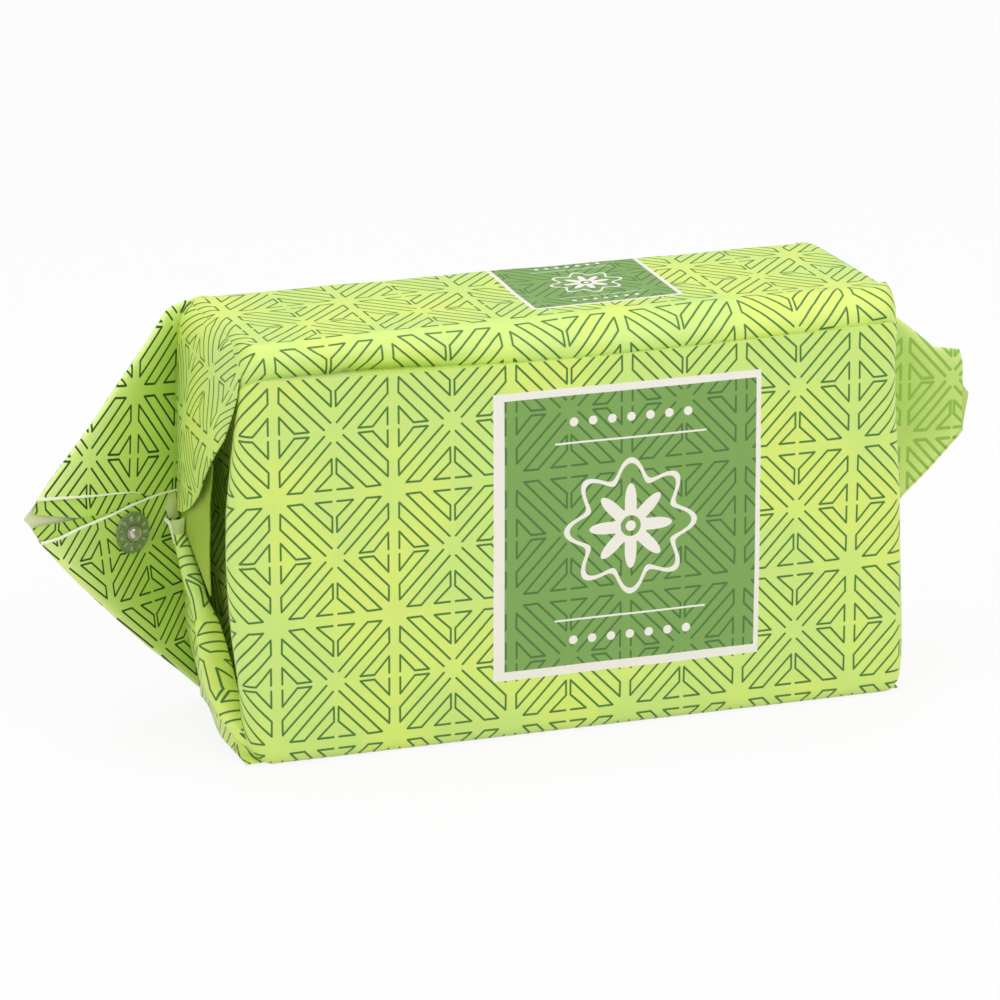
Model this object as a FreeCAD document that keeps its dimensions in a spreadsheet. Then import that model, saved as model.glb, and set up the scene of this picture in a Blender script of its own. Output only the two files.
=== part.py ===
"""Wrapped butter block: one folded paper wrapper round a brick of butter, with a seal.

The block stands on its long narrow side.  X runs along its length, Y through its
depth (the front is at -Y) and Z up.  The origin is on the standing face, under the
middle of the brick.  All sizes are millimetres and sit in the sheet "Sizes".
"""
import FreeCAD, Part
import math
import os
import re

import Sketcher

PARTS_FOLDER = "parts"

# Driving dimensions: alias, value, what it is.
SIZES = [
    ("block_length", 110.0, "brick, along X"),
    ("block_depth", 36.2, "brick, along Y"),
    ("block_height", 67.7, "brick, along Z"),
    ("face_crown", 0.7, "how far the wide faces swell at mid length"),
    ("upright_radius", 3.0, "rounding of the four upright edges"),
    ("ridge_radius", 3.0, "rounding of the two long top edges"),
    ("sole_radius", 2.0, "rounding of the two long bottom edges"),
    ("shoulder_radius", 3.5, "rounding of the short edges at both ends"),
    ("lap_drop", 5.6, "top of the front panel's lap, below the top face"),
    ("lap_step", 0.4, "how far the lap stands proud of the strip above it"),
    ("rim_depth", 8.0, "puffed front rim of an end, along Y"),
    ("left_rim_puff", 3.2, "puff of the left end's front rim at mid height"),
    ("right_rim_puff", 1.4, "puff of the right end's front rim at mid height"),
    ("gusset_depth", 1.6, "how deep the tucked gusset lies in an end"),
    ("fold_inset", 3.3, "start of an end flap's slanted fold, from the front face"),
    ("flap_point_gap", 5.6, "height between the points of the two end flaps"),
    ("flap_point_inset", 4.2, "from the flaps' points to the back face"),
    ("top_flap_proud", 0.8, "thickness of the top end flap outside the brick"),
    ("bottom_flap_proud", 1.9, "thickness of the rolled bottom end flap"),
    ("flap_edge_radius", 0.6, "rounding of an end flap's fold"),
    ("wing_thickness", 1.4, "pressed paper layers of a wing"),
    ("wing_root_inset", 2.0, "root of a wing, in front of the back face"),
    ("wing_top_drop", 1.6, "top of a wing's root, below the top face"),
    ("wing_bottom_rise", 2.0, "bottom of a wing's root, above the standing face"),
    ("left_wing_reach", 28.2, "left wing, out from the end, along X"),
    ("left_wing_lead", 23.0, "degrees the left wing leans forward at its root"),
    ("left_wing_bend", 70.0, "radius of the left wing's gentle curve"),
    ("left_nib_high", 4.0, "upper corner of the left wing's open tip, above mid height"),
    ("left_nib_low", 3.3, "lower corner of the open tip, below mid height"),
    ("left_nib_back", 2.4, "how far the open tip's corners lie behind its point"),
    ("right_wing_reach", 27.2, "right wing, out from the end, along X"),
    ("right_wing_lead", 14.0, "degrees the right wing leans forward at its root"),
    ("right_wing_bend", 105.0, "radius of the right wing's gentle curve"),
    ("right_nib_high", 13.2, "upper corner of the right wing's square tip, above mid height"),
    ("right_nib_mid", 7.0, "most outlying corner of the square tip, above mid height"),
    ("right_nib_low", 1.2, "lower corner of the square tip, below mid height"),
    ("right_nib_back", 1.6, "how far the square tip's corners lie behind its end"),
    ("seal_out", 8.9, "middle of the seal, out from the left end, along X"),
    ("seal_drop", 3.8, "middle of the seal, below mid height"),
    ("seal_width", 6.1, "clear seal disc, across"),
    ("seal_tall", 7.0, "clear seal disc, upwards"),
    ("seal_thick", 0.7, "clear seal disc, thickness"),
    ("stud_head_radius", 1.2, "domed head of the stud"),
    ("stud_dome", 0.7, "height of the domed head"),
    ("stud_shank_radius", 0.55, "shank of the stud"),
    ("stud_clearance", 0.03, "round the shank, in the disc and in the paper"),
    ("stud_foot_radius", 1.1, "flattened foot of the stud behind the wing"),
    ("stud_foot_thick", 0.35, "thickness of the flattened foot"),
]

ROOT_OVERLAP = 3.0  # how far a wing's root reaches into the brick, so that they fuse
REACH_SPARE = 20.0  # how far a cutting or trimming solid runs past what it trims


def new_sheet(doc):
    """Write the driving dimensions to the sheet, each with its alias."""
    sheet = doc.addObject("Spreadsheet::Sheet", "Sizes")
    for row, (alias, value, note) in enumerate(SIZES, start=1):
        sheet.set(f"A{row}", alias)
        sheet.set(f"B{row}", str(value))
        sheet.set(f"C{row}", note)
        sheet.setAlias(f"B{row}", alias)
    doc.recompute()
    return sheet


def sized(expression):
    """Turn the aliases in an expression into references to the sheet."""
    aliases = "|".join(alias for alias, _, _ in SIZES)
    return re.sub(rf"\b({aliases})\b", r"Sizes.\1", expression)


def value_of(sheet, expression):
    """Work out an expression over the aliases, in millimetres or degrees."""
    return float(sheet.evalExpression(expression))


def origin_plane(body, role):
    """Return one of a body's own origin planes."""
    return next(item for item in body.Origin.OriginFeatures if item.Role == role)


def corner_point(sheet, place):
    """Work out a pair of expressions as a point of a sketch."""
    return FreeCAD.Vector(value_of(sheet, place[0]), value_of(sheet, place[1]), 0)


def pin(sketch, number, vertex, place, point, label):
    """Tie a vertex of a sketch to its pair of expressions."""
    for kind, size, expression in zip(("DistanceX", "DistanceY"), (point.x, point.y), place):
        constraint = Sketcher.Constraint(kind, -1, 1, number, vertex, size)
        sketch.renameConstraint(sketch.addConstraint(constraint), f"{label}_{kind}")
        sketch.setExpression(f"Constraints.{label}_{kind}", sized(expression))


def outline_sketch(sheet, body, role, corners, bulges=None):
    """Draw a closed outline whose corners and swollen sides follow the sheet.

    corners holds (across, up) pairs of expressions.  bulges maps a side's number to
    (across, up), a point on the arc that replaces that straight side.
    """
    bulges = bulges or {}
    sketch = body.newObject("Sketcher::SketchObject", body.Name + "_outline")
    sketch.AttachmentSupport = [(origin_plane(body, role), "")]
    sketch.MapMode = "FlatFace"
    points = [corner_point(sheet, corner) for corner in corners]
    ends = []
    for side, start in enumerate(points):
        end = points[(side + 1) % len(points)]
        ends.append((1, 2))
        if side not in bulges:
            sketch.addGeometry(Part.LineSegment(start, end), False)
            continue
        middle = corner_point(sheet, bulges[side])
        if (middle - start).cross(end - middle).z < 0:
            start, end = end, start
            ends[side] = (2, 1)
        sketch.addGeometry(Part.Arc(start, middle, end), False)
    for side, point in enumerate(points):
        before = (side - 1) % len(points)
        joined = Sketcher.Constraint("Coincident", before, ends[before][1], side, ends[side][0])
        sketch.addConstraint(joined)
        pin(sketch, side, ends[side][0], corners[side], point, f"corner{side}")
    for side, place in bulges.items():
        middle = corner_point(sheet, place)
        mark = sketch.addGeometry(Part.Point(middle), True)
        sketch.addConstraint(Sketcher.Constraint("PointOnObject", mark, 1, side))
        pin(sketch, mark, 1, place, middle, f"bulge{side}")
    return sketch


def padded_outline(doc, sheet, name, role, corners, length, bulges=None, midplane=False):
    """Make a body by padding an outline; returns the body and its pad."""
    body = doc.addObject("PartDesign::Body", name)
    sketch = outline_sketch(sheet, body, role, corners, bulges)
    pad = body.newObject("PartDesign::Pad", name + "_pad")
    pad.Profile = sketch
    pad.setExpression("Length", sized(length))
    pad.Midplane = midplane
    sketch.Visibility = False
    doc.recompute()
    return body, pad


def straight_edges_along(shape, direction, chosen):
    """Name the straight edges along a direction whose middle passes a test."""
    names = []
    for number, edge in enumerate(shape.Edges, start=1):
        if len(edge.Vertexes) != 2 or not isinstance(edge.Curve, Part.Line):
            continue
        run = edge.Vertexes[1].Point - edge.Vertexes[0].Point
        if run.cross(direction).Length < 1e-6 * run.Length and chosen(edge.CenterOfMass):
            names.append(f"Edge{number}")
    return names


def round_edges(doc, body, feature, direction, radius, label, chosen=lambda point: True):
    """Round a pad's straight edges that run along a direction."""
    fillet = body.newObject("PartDesign::Fillet", f"{body.Name}_{label}")
    fillet.Base = (feature, straight_edges_along(feature.Shape, direction, chosen))
    fillet.setExpression("Radius", sized(radius))
    doc.recompute()
    return fillet


def boolean(doc, kind, name, *shapes):
    """Combine shapes: Cut takes the second from the first, Fuse and Common take several."""
    item = doc.addObject(f"Part::{kind}", name)
    if kind == "Cut":
        item.Base, item.Tool = shapes
    else:
        item.Shapes = list(shapes)
    doc.recompute()
    return item


def make_brick(doc, sheet):
    """The wrapped brick: what three rounded outlines have in common."""
    half_long, half_deep = "block_length / 2", "block_depth / 2"
    front_view, front_pad = padded_outline(
        doc, sheet, "front_view", "XZ_Plane",
        [(f"-{half_long}", "0"), (half_long, "0"),
         (half_long, "block_height"), (f"-{half_long}", "block_height")],
        "block_depth * 2", midplane=True)
    round_edges(doc, front_view, front_pad, FreeCAD.Vector(0, 1, 0), "shoulder_radius", "shoulders")

    plan_view, plan_pad = padded_outline(
        doc, sheet, "plan_view", "XY_Plane",
        [(f"-{half_long}", f"-{half_deep}"), (half_long, f"-{half_deep}"),
         (half_long, half_deep), (f"-{half_long}", half_deep)],
        "block_height",
        bulges={0: ("0", f"-{half_deep} - face_crown"), 2: ("0", f"{half_deep} + face_crown")})
    round_edges(doc, plan_view, plan_pad, FreeCAD.Vector(0, 0, 1), "upright_radius", "uprights")

    front_most = f"-{half_deep} - face_crown"
    back_most = f"{half_deep} + face_crown"
    side_view, side_pad = padded_outline(
        doc, sheet, "side_view", "YZ_Plane",
        [(front_most, "0"), (back_most, "0"), (back_most, "block_height"),
         (f"{front_most} + lap_step", "block_height"),
         (f"{front_most} + lap_step", "block_height - lap_drop"),
         (front_most, "block_height - lap_drop")],
        "block_length * 2", midplane=True)
    along_x = FreeCAD.Vector(1, 0, 0)
    mid_height = value_of(sheet, "block_height / 2")
    lap_top = value_of(sheet, "block_height - lap_drop / 2")
    ridge = round_edges(doc, side_view, side_pad, along_x, "ridge_radius", "ridge",
                        chosen=lambda point: point.z > lap_top)
    round_edges(doc, side_view, ridge, along_x, "sole_radius", "sole",
                chosen=lambda point: point.z < mid_height / 2)
    return boolean(doc, "MultiCommon", "brick", front_view, plan_view, side_view)


def end_name(side):
    """Name an end: side is -1 at the left and 1 at the right."""
    return "left" if side < 0 else "right"


def signed(side, expression):
    """Write an expression with the sign of an end."""
    return f"{side} * ({expression})"


def place_along(item, expression, axis="x"):
    """Tie one coordinate of an object's place to the sheet."""
    item.setExpression(f".Placement.Base.{axis}", sized(expression))


def make_rim(doc, sheet, side):
    """The puffed front rim of an end: a lens from the front, with rounded upright edges."""
    end = end_name(side)
    within, outside = "block_length / 2 - shoulder_radius", "block_length / 2"
    puffed = f"{outside} + {end}_rim_puff"
    low, high = "shoulder_radius", "block_height - lap_drop"
    front, back = "-block_depth / 2", "rim_depth - block_depth / 2"
    lens, _ = padded_outline(
        doc, sheet, f"{end}_rim_lens", "XZ_Plane",
        [(signed(side, within), low), (signed(side, outside), low),
         (signed(side, outside), high), (signed(side, within), high)],
        "block_depth", midplane=True,
        bulges={1: (signed(side, puffed), f"({low} + {high}) / 2")})
    plan, pad = padded_outline(
        doc, sheet, f"{end}_rim_plan", "XY_Plane",
        [(signed(side, within), front), (signed(side, puffed), front),
         (signed(side, puffed), back), (signed(side, within), back)],
        "block_height")
    within_x = value_of(sheet, within)
    round_edges(doc, plan, pad, FreeCAD.Vector(0, 0, 1), "upright_radius * 0.9", "uprights",
                chosen=lambda point: abs(point.x) > within_x + 1)
    return boolean(doc, "MultiCommon", f"{end}_rim", lens, plan)


def flap_point(side_of_middle):
    """Where an end flap's fold meets the wing: (across Y, up Z)."""
    return ("block_depth / 2 - flap_point_inset",
            f"block_height / 2 + {side_of_middle} * flap_point_gap / 2")


def make_gusset(doc, sheet, side):
    """The hollow that the tucked gusset leaves between an end's two flaps."""
    end = end_name(side)
    front = "-block_depth / 2 + fold_inset"
    body, _ = padded_outline(
        doc, sheet, f"{end}_gusset", "YZ_Plane",
        [(front, "fold_inset"), flap_point(-1), flap_point(1), (front, "block_height - fold_inset")],
        f"gusset_depth + {REACH_SPARE}")
    place_along(body, signed(side, "block_length / 2 - gusset_depth") + (
        f" - {REACH_SPARE} - gusset_depth" if side < 0 else ""))
    doc.recompute()
    return body


def make_flap(doc, sheet, side, is_top):
    """One end flap: the paper folded over the end, slanted where the gusset is tucked."""
    end, level = end_name(side), "top" if is_top else "bottom"
    proud = f"{level}_flap_proud"
    front, back = "-block_depth / 2 + fold_inset", "block_depth / 2 - upright_radius / 2"
    outer = "block_height - shoulder_radius" if is_top else "shoulder_radius"
    start = "block_height - fold_inset * 2" if is_top else "fold_inset * 2"
    tip_across, tip_up = flap_point(1 if is_top else -1)
    body, pad = padded_outline(
        doc, sheet, f"{end}_{level}_flap", "YZ_Plane",
        [(front, outer), (front, start), (tip_across, tip_up), (back, tip_up), (back, outer)],
        f"{proud} + gusset_depth")
    edge_x = value_of(sheet, f"{proud} + gusset_depth") if side > 0 else 0.0
    rounded = body.newObject("PartDesign::Fillet", f"{end}_{level}_fold")
    rounded.Base = (pad, [
        f"Edge{number}" for number, edge in enumerate(pad.Shape.Edges, start=1)
        if abs(edge.CenterOfMass.x - edge_x) < 1e-6
    ])
    rounded.setExpression("Radius", sized("flap_edge_radius"))
    outward = "block_length / 2 - gusset_depth"
    place_along(body, signed(side, outward) + (f" - {proud} - gusset_depth" if side < 0 else ""))
    doc.recompute()
    return body


def wing_outline(side):
    """The wing seen from the front: a folded triangle with its point cut off."""
    end = end_name(side)
    root = f"block_length / 2 - {ROOT_OVERLAP}"
    tip = f"block_length / 2 + {end}_wing_reach"
    middle = "block_height / 2"
    corners = [(root, "wing_bottom_rise"), ("block_length / 2", "wing_bottom_rise")]
    if side < 0:
        corners += [(f"{tip} - left_nib_back", f"{middle} - left_nib_low"), (tip, middle),
                    (f"{tip} - left_nib_back", f"{middle} + left_nib_high")]
    else:
        corners += [(f"{tip} - right_nib_back", f"{middle} - right_nib_low"),
                    (tip, f"{middle} + right_nib_mid"),
                    (f"{tip} - right_nib_back", f"{middle} + right_nib_high"),
                    (f"{tip} - right_nib_back * 3.5", f"{middle} + right_nib_high")]
    corners += [("block_length / 2", "block_height - wing_top_drop"),
                (root, "block_height - wing_top_drop")]
    return [(signed(side, across), up) for across, up in corners]


def wing_axis(side):
    """The upright axis that a wing curves round: expressions for X and Y."""
    end = end_name(side)
    return (signed(side, f"block_length / 2 + {end}_wing_bend * sin({end}_wing_lead * 1 deg)"),
            f"block_depth / 2 - wing_root_inset + {end}_wing_bend * cos({end}_wing_lead * 1 deg)")


def make_cylinder(doc, name, radius, height, place):
    """A Part cylinder whose radius, height and place follow the sheet."""
    item = doc.addObject("Part::Cylinder", name)
    item.setExpression("Radius", sized(radius))
    item.setExpression("Height", sized(height))
    for axis, expression in zip("xyz", place):
        place_along(item, expression, axis)
    doc.recompute()
    return item


def make_wing(doc, sheet, side):
    """A wing: a curved band of pressed paper, trimmed to its folded outline."""
    end = end_name(side)
    across, deep = wing_axis(side)
    rings = [
        make_cylinder(doc, f"{end}_wing_{face}", f"{end}_wing_bend {sign} wing_thickness / 2",
                      "block_height", (across, deep, "0"))
        for face, sign in (("front", "+"), ("back", "-"))
    ]
    band = boolean(doc, "Cut", f"{end}_wing_band", *rings)
    trim, _ = padded_outline(doc, sheet, f"{end}_wing_trim", "XZ_Plane", wing_outline(side),
                             "block_depth", midplane=True)
    place_along(trim, "block_depth / 2", "y")
    doc.recompute()
    return boolean(doc, "MultiCommon", f"{end}_wing", band, trim)


def seal_frame(sheet):
    """Place of the seal on the left wing's front: Z faces outwards and X upwards."""
    bend = value_of(sheet, "left_wing_bend")
    axis_x = value_of(sheet, wing_axis(-1)[0])
    axis_y = value_of(sheet, wing_axis(-1)[1])
    middle_x = -value_of(sheet, "block_length / 2 + seal_out")
    lean = math.asin((middle_x - axis_x) / bend)
    front = bend + value_of(sheet, "wing_thickness / 2")
    middle = FreeCAD.Vector(axis_x + front * math.sin(lean), axis_y - front * math.cos(lean),
                            value_of(sheet, "block_height / 2 - seal_drop"))
    upward = FreeCAD.Vector(0, 0, 1)
    outward = FreeCAD.Vector(math.sin(lean), -math.cos(lean), 0)
    facing = FreeCAD.Rotation(upward, outward.cross(upward), outward, "ZXY")
    return FreeCAD.Placement(middle, facing)


def make_stud(doc, sheet, place):
    """The stud: a domed head, a shank through disc and paper, and a flattened foot."""
    body = doc.addObject("PartDesign::Body", "seal_stud")
    back = "-wing_thickness"
    top = "seal_thick + stud_dome"
    corners = [
        ("0", f"{back} - stud_foot_thick"), ("stud_foot_radius", f"{back} - stud_foot_thick"),
        ("stud_foot_radius", back), ("stud_shank_radius", back),
        ("stud_shank_radius", "seal_thick"), ("stud_head_radius", "seal_thick"), ("0", top)]
    ball = "(stud_head_radius * stud_head_radius + stud_dome * stud_dome) / (2 * stud_dome)"
    half_chord = "stud_head_radius / 2"
    bulge = (half_chord, f"{top} - {ball} + sqrt({ball} * {ball} - {half_chord} * {half_chord})")
    sketch = outline_sketch(sheet, body, "XZ_Plane", corners, {5: bulge})
    turned = body.newObject("PartDesign::Revolution", "seal_stud_turned")
    turned.Profile = sketch
    turned.ReferenceAxis = (sketch, ["V_Axis"])
    turned.Angle = 360
    sketch.Visibility = False
    body.Placement = place
    doc.recompute()
    return body


def make_disc(doc, place):
    """The clear seal disc, slightly oval, with the stud's hole through it."""
    rim = doc.addObject("Part::Ellipse", "seal_rim")
    rim.setExpression("MajorRadius", sized("seal_tall / 2"))
    rim.setExpression("MinorRadius", sized("seal_width / 2"))
    doc.recompute()
    blank = doc.addObject("Part::Extrusion", "seal_blank")
    blank.Base = rim
    blank.DirMode = "Custom"
    blank.Dir = FreeCAD.Vector(0, 0, 1)
    blank.Solid = True
    blank.setExpression("LengthFwd", sized("seal_thick"))
    hole = make_cylinder(doc, "seal_hole", "stud_shank_radius + stud_clearance", "seal_thick * 3",
                         ("0", "0", "-seal_thick"))
    disc = boolean(doc, "Cut", "seal_disc", blank, hole)
    disc.Placement = place
    doc.recompute()
    return disc


def make_stud_hole(doc, sheet, place):
    """The hole that the stud's shank makes through the left wing."""
    hole = doc.addObject("Part::Cylinder", "wing_stud_hole")
    hole.setExpression("Radius", sized("stud_shank_radius + stud_clearance"))
    hole.setExpression("Height", sized("wing_thickness * 3"))
    middle = FreeCAD.Vector(0, 0, -2 * value_of(sheet, "wing_thickness"))
    hole.Placement = place.multiply(FreeCAD.Placement(middle, FreeCAD.Rotation()))
    doc.recompute()
    return hole


def make_wrapped_block(doc, sheet, seal_place):
    """The brick with its two folded ends and its two wings, as one solid."""
    brick = make_brick(doc, sheet)
    additions = []
    for side in (-1, 1):
        additions.append(make_rim(doc, sheet, side))
        brick = boolean(doc, "Cut", f"brick_{end_name(side)}_tucked", brick,
                        make_gusset(doc, sheet, side))
        additions += [make_flap(doc, sheet, side, is_top) for is_top in (True, False)]
        additions.append(make_wing(doc, sheet, side))
    folded = boolean(doc, "MultiFuse", "folded_block", brick, *additions)
    return boolean(doc, "Cut", "wrapped_block", folded, make_stud_hole(doc, sheet, seal_place))


def check(doc, pieces):
    """Stop if a feature failed, or if a piece isn't one valid closed solid."""
    for item in doc.Objects:
        bad = [state for state in item.State if state in ("Invalid", "Error")]
        if bad:
            raise RuntimeError(f"{item.Label}: {bad}")
    for piece in pieces:
        shape = piece.Shape
        if shape.isNull() or not shape.isValid() or len(shape.Solids) != 1:
            raise RuntimeError(f"{piece.Label}: not one valid solid ({len(shape.Solids)})")


def main():
    """Build the document, check it and write one STEP file for each piece."""
    doc = FreeCAD.newDocument("wrapped_butter_block")
    sheet = new_sheet(doc)
    seal_place = seal_frame(sheet)
    pieces = [
        make_wrapped_block(doc, sheet, seal_place),
        make_disc(doc, seal_place),
        make_stud(doc, sheet, seal_place),
    ]
    for piece, label in zip(pieces, ("wrapped_block", "seal_disc", "seal_stud")):
        piece.Label = label
    check(doc, pieces)
    os.makedirs(PARTS_FOLDER, exist_ok=True)
    for piece in pieces:
        piece.Shape.exportStep(os.path.join(PARTS_FOLDER, f"{piece.Label}.step"))
        box = piece.Shape.BoundBox
        print(f"{piece.Label}: {piece.Shape.Volume:.1f} mm3, X {box.XMin:.2f}..{box.XMax:.2f}, "
              f"Y {box.YMin:.2f}..{box.YMax:.2f}, Z {box.ZMin:.2f}..{box.ZMax:.2f}")


main()
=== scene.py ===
"""Looks of the wrapped butter block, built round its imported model.

The wrapper is made the way the real one is: flat sheets of printed paper, each with a
map of its flat size in millimetres, folded round the brick and into its ends.
"""

from __future__ import annotations

import logging
import math
from dataclasses import dataclass, field, replace
from enum import IntEnum
from functools import partial
from typing import Callable, Sequence

import bpy
import numpy as np
from bpy.types import Material, Node, NodeSocket, NodeTree, Object
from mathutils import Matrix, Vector, noise

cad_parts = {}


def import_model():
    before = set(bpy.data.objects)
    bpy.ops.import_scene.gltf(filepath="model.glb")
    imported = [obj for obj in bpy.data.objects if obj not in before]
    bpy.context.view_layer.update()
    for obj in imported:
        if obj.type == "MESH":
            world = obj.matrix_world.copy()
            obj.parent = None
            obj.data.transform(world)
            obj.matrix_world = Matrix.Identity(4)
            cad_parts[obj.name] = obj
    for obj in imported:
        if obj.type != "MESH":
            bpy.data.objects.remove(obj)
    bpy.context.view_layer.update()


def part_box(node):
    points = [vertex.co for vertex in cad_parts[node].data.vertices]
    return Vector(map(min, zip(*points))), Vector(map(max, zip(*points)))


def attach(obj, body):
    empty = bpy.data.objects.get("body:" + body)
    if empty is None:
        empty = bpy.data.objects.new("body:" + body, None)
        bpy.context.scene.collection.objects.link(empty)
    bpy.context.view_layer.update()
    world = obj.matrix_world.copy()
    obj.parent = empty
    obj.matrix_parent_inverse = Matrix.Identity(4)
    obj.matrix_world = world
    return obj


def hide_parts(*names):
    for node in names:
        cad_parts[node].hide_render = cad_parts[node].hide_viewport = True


MM = 0.001  # one millimetre, in the frame's metres
BODY = "root"
SHEET_MAP = "sheet"
# Painted backlight: loose paper is painted lighter where this attribute is high, as if light came
# through it; on the seal it marks whitened, pressed plastic.
PAINTED_BACKLIGHT_OR_PRESSED = "backlight_or_whitened"  # attribute: 1 where loose paper lets light through or plastic is whitened

FLAP, TUCK, STRIP, LEAF, DISC = 0.25, 0.2, 0.15, 0.12, 0.3  # thicknesses, in millimetres
PAPER_CREASE, SEAL_CREASE = 50.0, 40.0  # edges sharper than this stay crisp, in degrees

log = logging.getLogger("wrapped_block")

Place = Callable[[int, int], Vector]
Flat = Callable[[int, int, int, int], "tuple[float, float]"]
Line = Sequence["tuple[float, float]"]
Path = Sequence["tuple[float, float, float]"]


class Side(IntEnum):
    """An end of the block, as the sign of its X."""

    LEFT = -1
    RIGHT = 1


class Face(IntEnum):
    """The material slots of a sheet of wrapping paper."""

    PRINTED = 0
    INSIDE = 1
    CUT = 2


# ---------------------------------------------------------------- small helpers


def linear(hex_colour: str) -> tuple[float, float, float, float]:
    """Turn an sRGB hex colour into a linear one.

    Args:
        hex_colour: six hex digits, such as "d2ec7e".

    Returns:
        Linear red, green and blue, and an alpha of 1.
    """
    parts = [int(hex_colour[start:start + 2], 16) / 255 for start in (0, 2, 4)]
    curved = [c / 12.92 if c <= 0.04045 else ((c + 0.055) / 1.055) ** 2.4 for c in parts]
    return (*curved, 1.0)


def smooth(value: float) -> float:
    """Ease a share between 0 and 1."""
    share = min(max(value, 0.0), 1.0)
    return share * share * (3 - 2 * share)


def spread(start: float, end: float, count: int) -> list[float]:
    """Divide a run into equal steps, both ends kept."""
    return [float(value) for value in np.linspace(start, end, count + 1)]


@dataclass(frozen=True)
class Unevenness:
    """A smooth unevenness: its height, the distance from swell to swell, and its seed."""

    height: float
    gap: float
    seed: float

    def at(self, point: Vector, shift: float = 0.0) -> float:
        """Its value at a place in millimetres, with the seed shifted if wanted."""
        seed = self.seed + shift
        return self.height * noise.noise(point / self.gap + Vector((seed, seed * 1.7, -seed)))


BUTTER_SWELLS = Unevenness(0.22, 17, 3.1)
PANEL_SWELLS = Unevenness(0.07, 6, 8.4)
FLAP_SWELLS = Unevenness(0.18, 8, 5.3)
ROLL_SWELLS = Unevenness(0.22, 5, 9.1)
TUCK_SWELLS = Unevenness(1.0, 3.5, 2.2)
WING_SWELLS = Unevenness(0.2, 12, 4.4)
# Painted backlight: patches in how much lighter the loose paper is painted.
PAINTED_BACKLIGHT_PATCHES = Unevenness(0.12, 9, 2.0)
TORN_EDGE = Unevenness(0.10, 1.6, 7.7)
DISC_OUTLINE = Unevenness(0.035, 0.9, 1.1)
DISC_PATCHES = Unevenness(0.5, 0.5, 3.3)


def fold_sheet(name: str, columns: int, rows: int, place: Place, flat: Flat) -> Object:
    """Fold a flat grid of paper into place.

    Args:
        name: the piece's name.
        columns: number of faces across.
        rows: number of faces along.
        place: gives the folded place of a grid point, in millimetres.
        flat: gives the place on the flat sheet, in millimetres, of a grid point as a
            corner of a face: (column, row, face column, face row).

    Returns:
        The folded sheet, with its flat map.
    """
    bpy.ops.object.select_all(action="DESELECT")
    bpy.ops.mesh.primitive_grid_add(x_subdivisions=columns, y_subdivisions=rows, size=1)
    sheet = bpy.context.object
    sheet.name = sheet.data.name = name
    mesh = sheet.data
    for _ in Face:
        mesh.materials.append(None)
    cells = [
        (round((vertex.co.x + 0.5) * columns), round((vertex.co.y + 0.5) * rows))
        for vertex in mesh.vertices
    ]
    layer = mesh.uv_layers.active
    layer.name = SHEET_MAP
    for polygon in mesh.polygons:
        face = [cells[index] for index in polygon.vertices]
        first_column = min(cell[0] for cell in face)
        first_row = min(cell[1] for cell in face)
        for loop, (column, row) in zip(polygon.loop_indices, face):
            layer.data[loop].uv = flat(column, row, first_column, first_row)
    for vertex, (column, row) in zip(mesh.vertices, cells):
        vertex.co = place(column, row) * MM
    return sheet


def face_along(sheet: Object, outward: Sequence[float]) -> None:
    """Turn a sheet over if its faces look the wrong way on the whole.

    Args:
        sheet: the folded sheet.
        outward: roughly where its printed side looks.
    """
    total = sum((p.normal * p.area for p in sheet.data.polygons), Vector())
    if total.dot(Vector(outward)) < 0:
        edit(sheet, bpy.ops.mesh.flip_normals)


def thicken(sheet: Object, thickness: float, rim: Face = Face.PRINTED) -> None:
    """Give a sheet its wall on the unprinted side, with a folded or a cut rim."""
    apply_modifier(sheet, "SOLIDIFY", thickness=thickness * MM, offset=-1.0,
                   material_offset=int(Face.INSIDE), material_offset_rim=int(rim))


def merge(sheet: Object) -> None:
    """Join points that lie on each other, as at a sheet's point or closed seam."""
    edit(sheet, lambda: bpy.ops.mesh.remove_doubles(threshold=0.01 * MM))


def along_line(value: float, points: Line) -> float:
    """Read a run of (place, value) points, given in rising order of place."""
    return float(np.interp(value, [p[0] for p in points], [p[1] for p in points]))


def along_path(share: float, path: Path) -> Vector:
    """Find the place at a share of a path whose points are evenly spread."""
    steps = np.linspace(0, 1, len(path))
    return Vector(float(np.interp(share, steps, [p[axis] for p in path])) for axis in range(3))


def pick(piece: Object) -> None:
    """Make a piece the only selected one.

    Args:
        piece: the object.
    """
    bpy.ops.object.select_all(action="DESELECT")
    piece.select_set(True)
    bpy.context.view_layer.objects.active = piece


def apply_modifier(piece: Object, kind: str, **settings: object) -> None:
    """Add a modifier with its settings and apply it.

    Args:
        piece: the object.
        kind: the modifier's type.
        settings: its properties.
    """
    modifier = piece.modifiers.new(kind.lower(), kind)
    for key, value in settings.items():
        setattr(modifier, key, value)
    pick(piece)
    bpy.ops.object.modifier_apply(modifier=modifier.name)


def edit(piece: Object, *steps: Callable[[], object]) -> None:
    """Run edit-mode operators on a whole mesh.

    Args:
        piece: the object.
        steps: calls to make in edit mode, in order.
    """
    pick(piece)
    bpy.ops.object.mode_set(mode="EDIT")
    bpy.ops.mesh.select_all(action="SELECT")
    for step in steps:
        step()
    bpy.ops.object.mode_set(mode="OBJECT")


def shade(piece: Object, degrees: float) -> None:
    """Shade a piece smooth, with edges sharper than an angle left crisp."""
    pick(piece)
    bpy.ops.object.shade_smooth_by_angle(angle=math.radians(degrees))


# ---------------------------------------------------------------- finishes

# A colour Mix node's inputs and output, by number because their names repeat.
SHARE, FIRST, SECOND, MIXED = 0, 6, 7, 2


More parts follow.
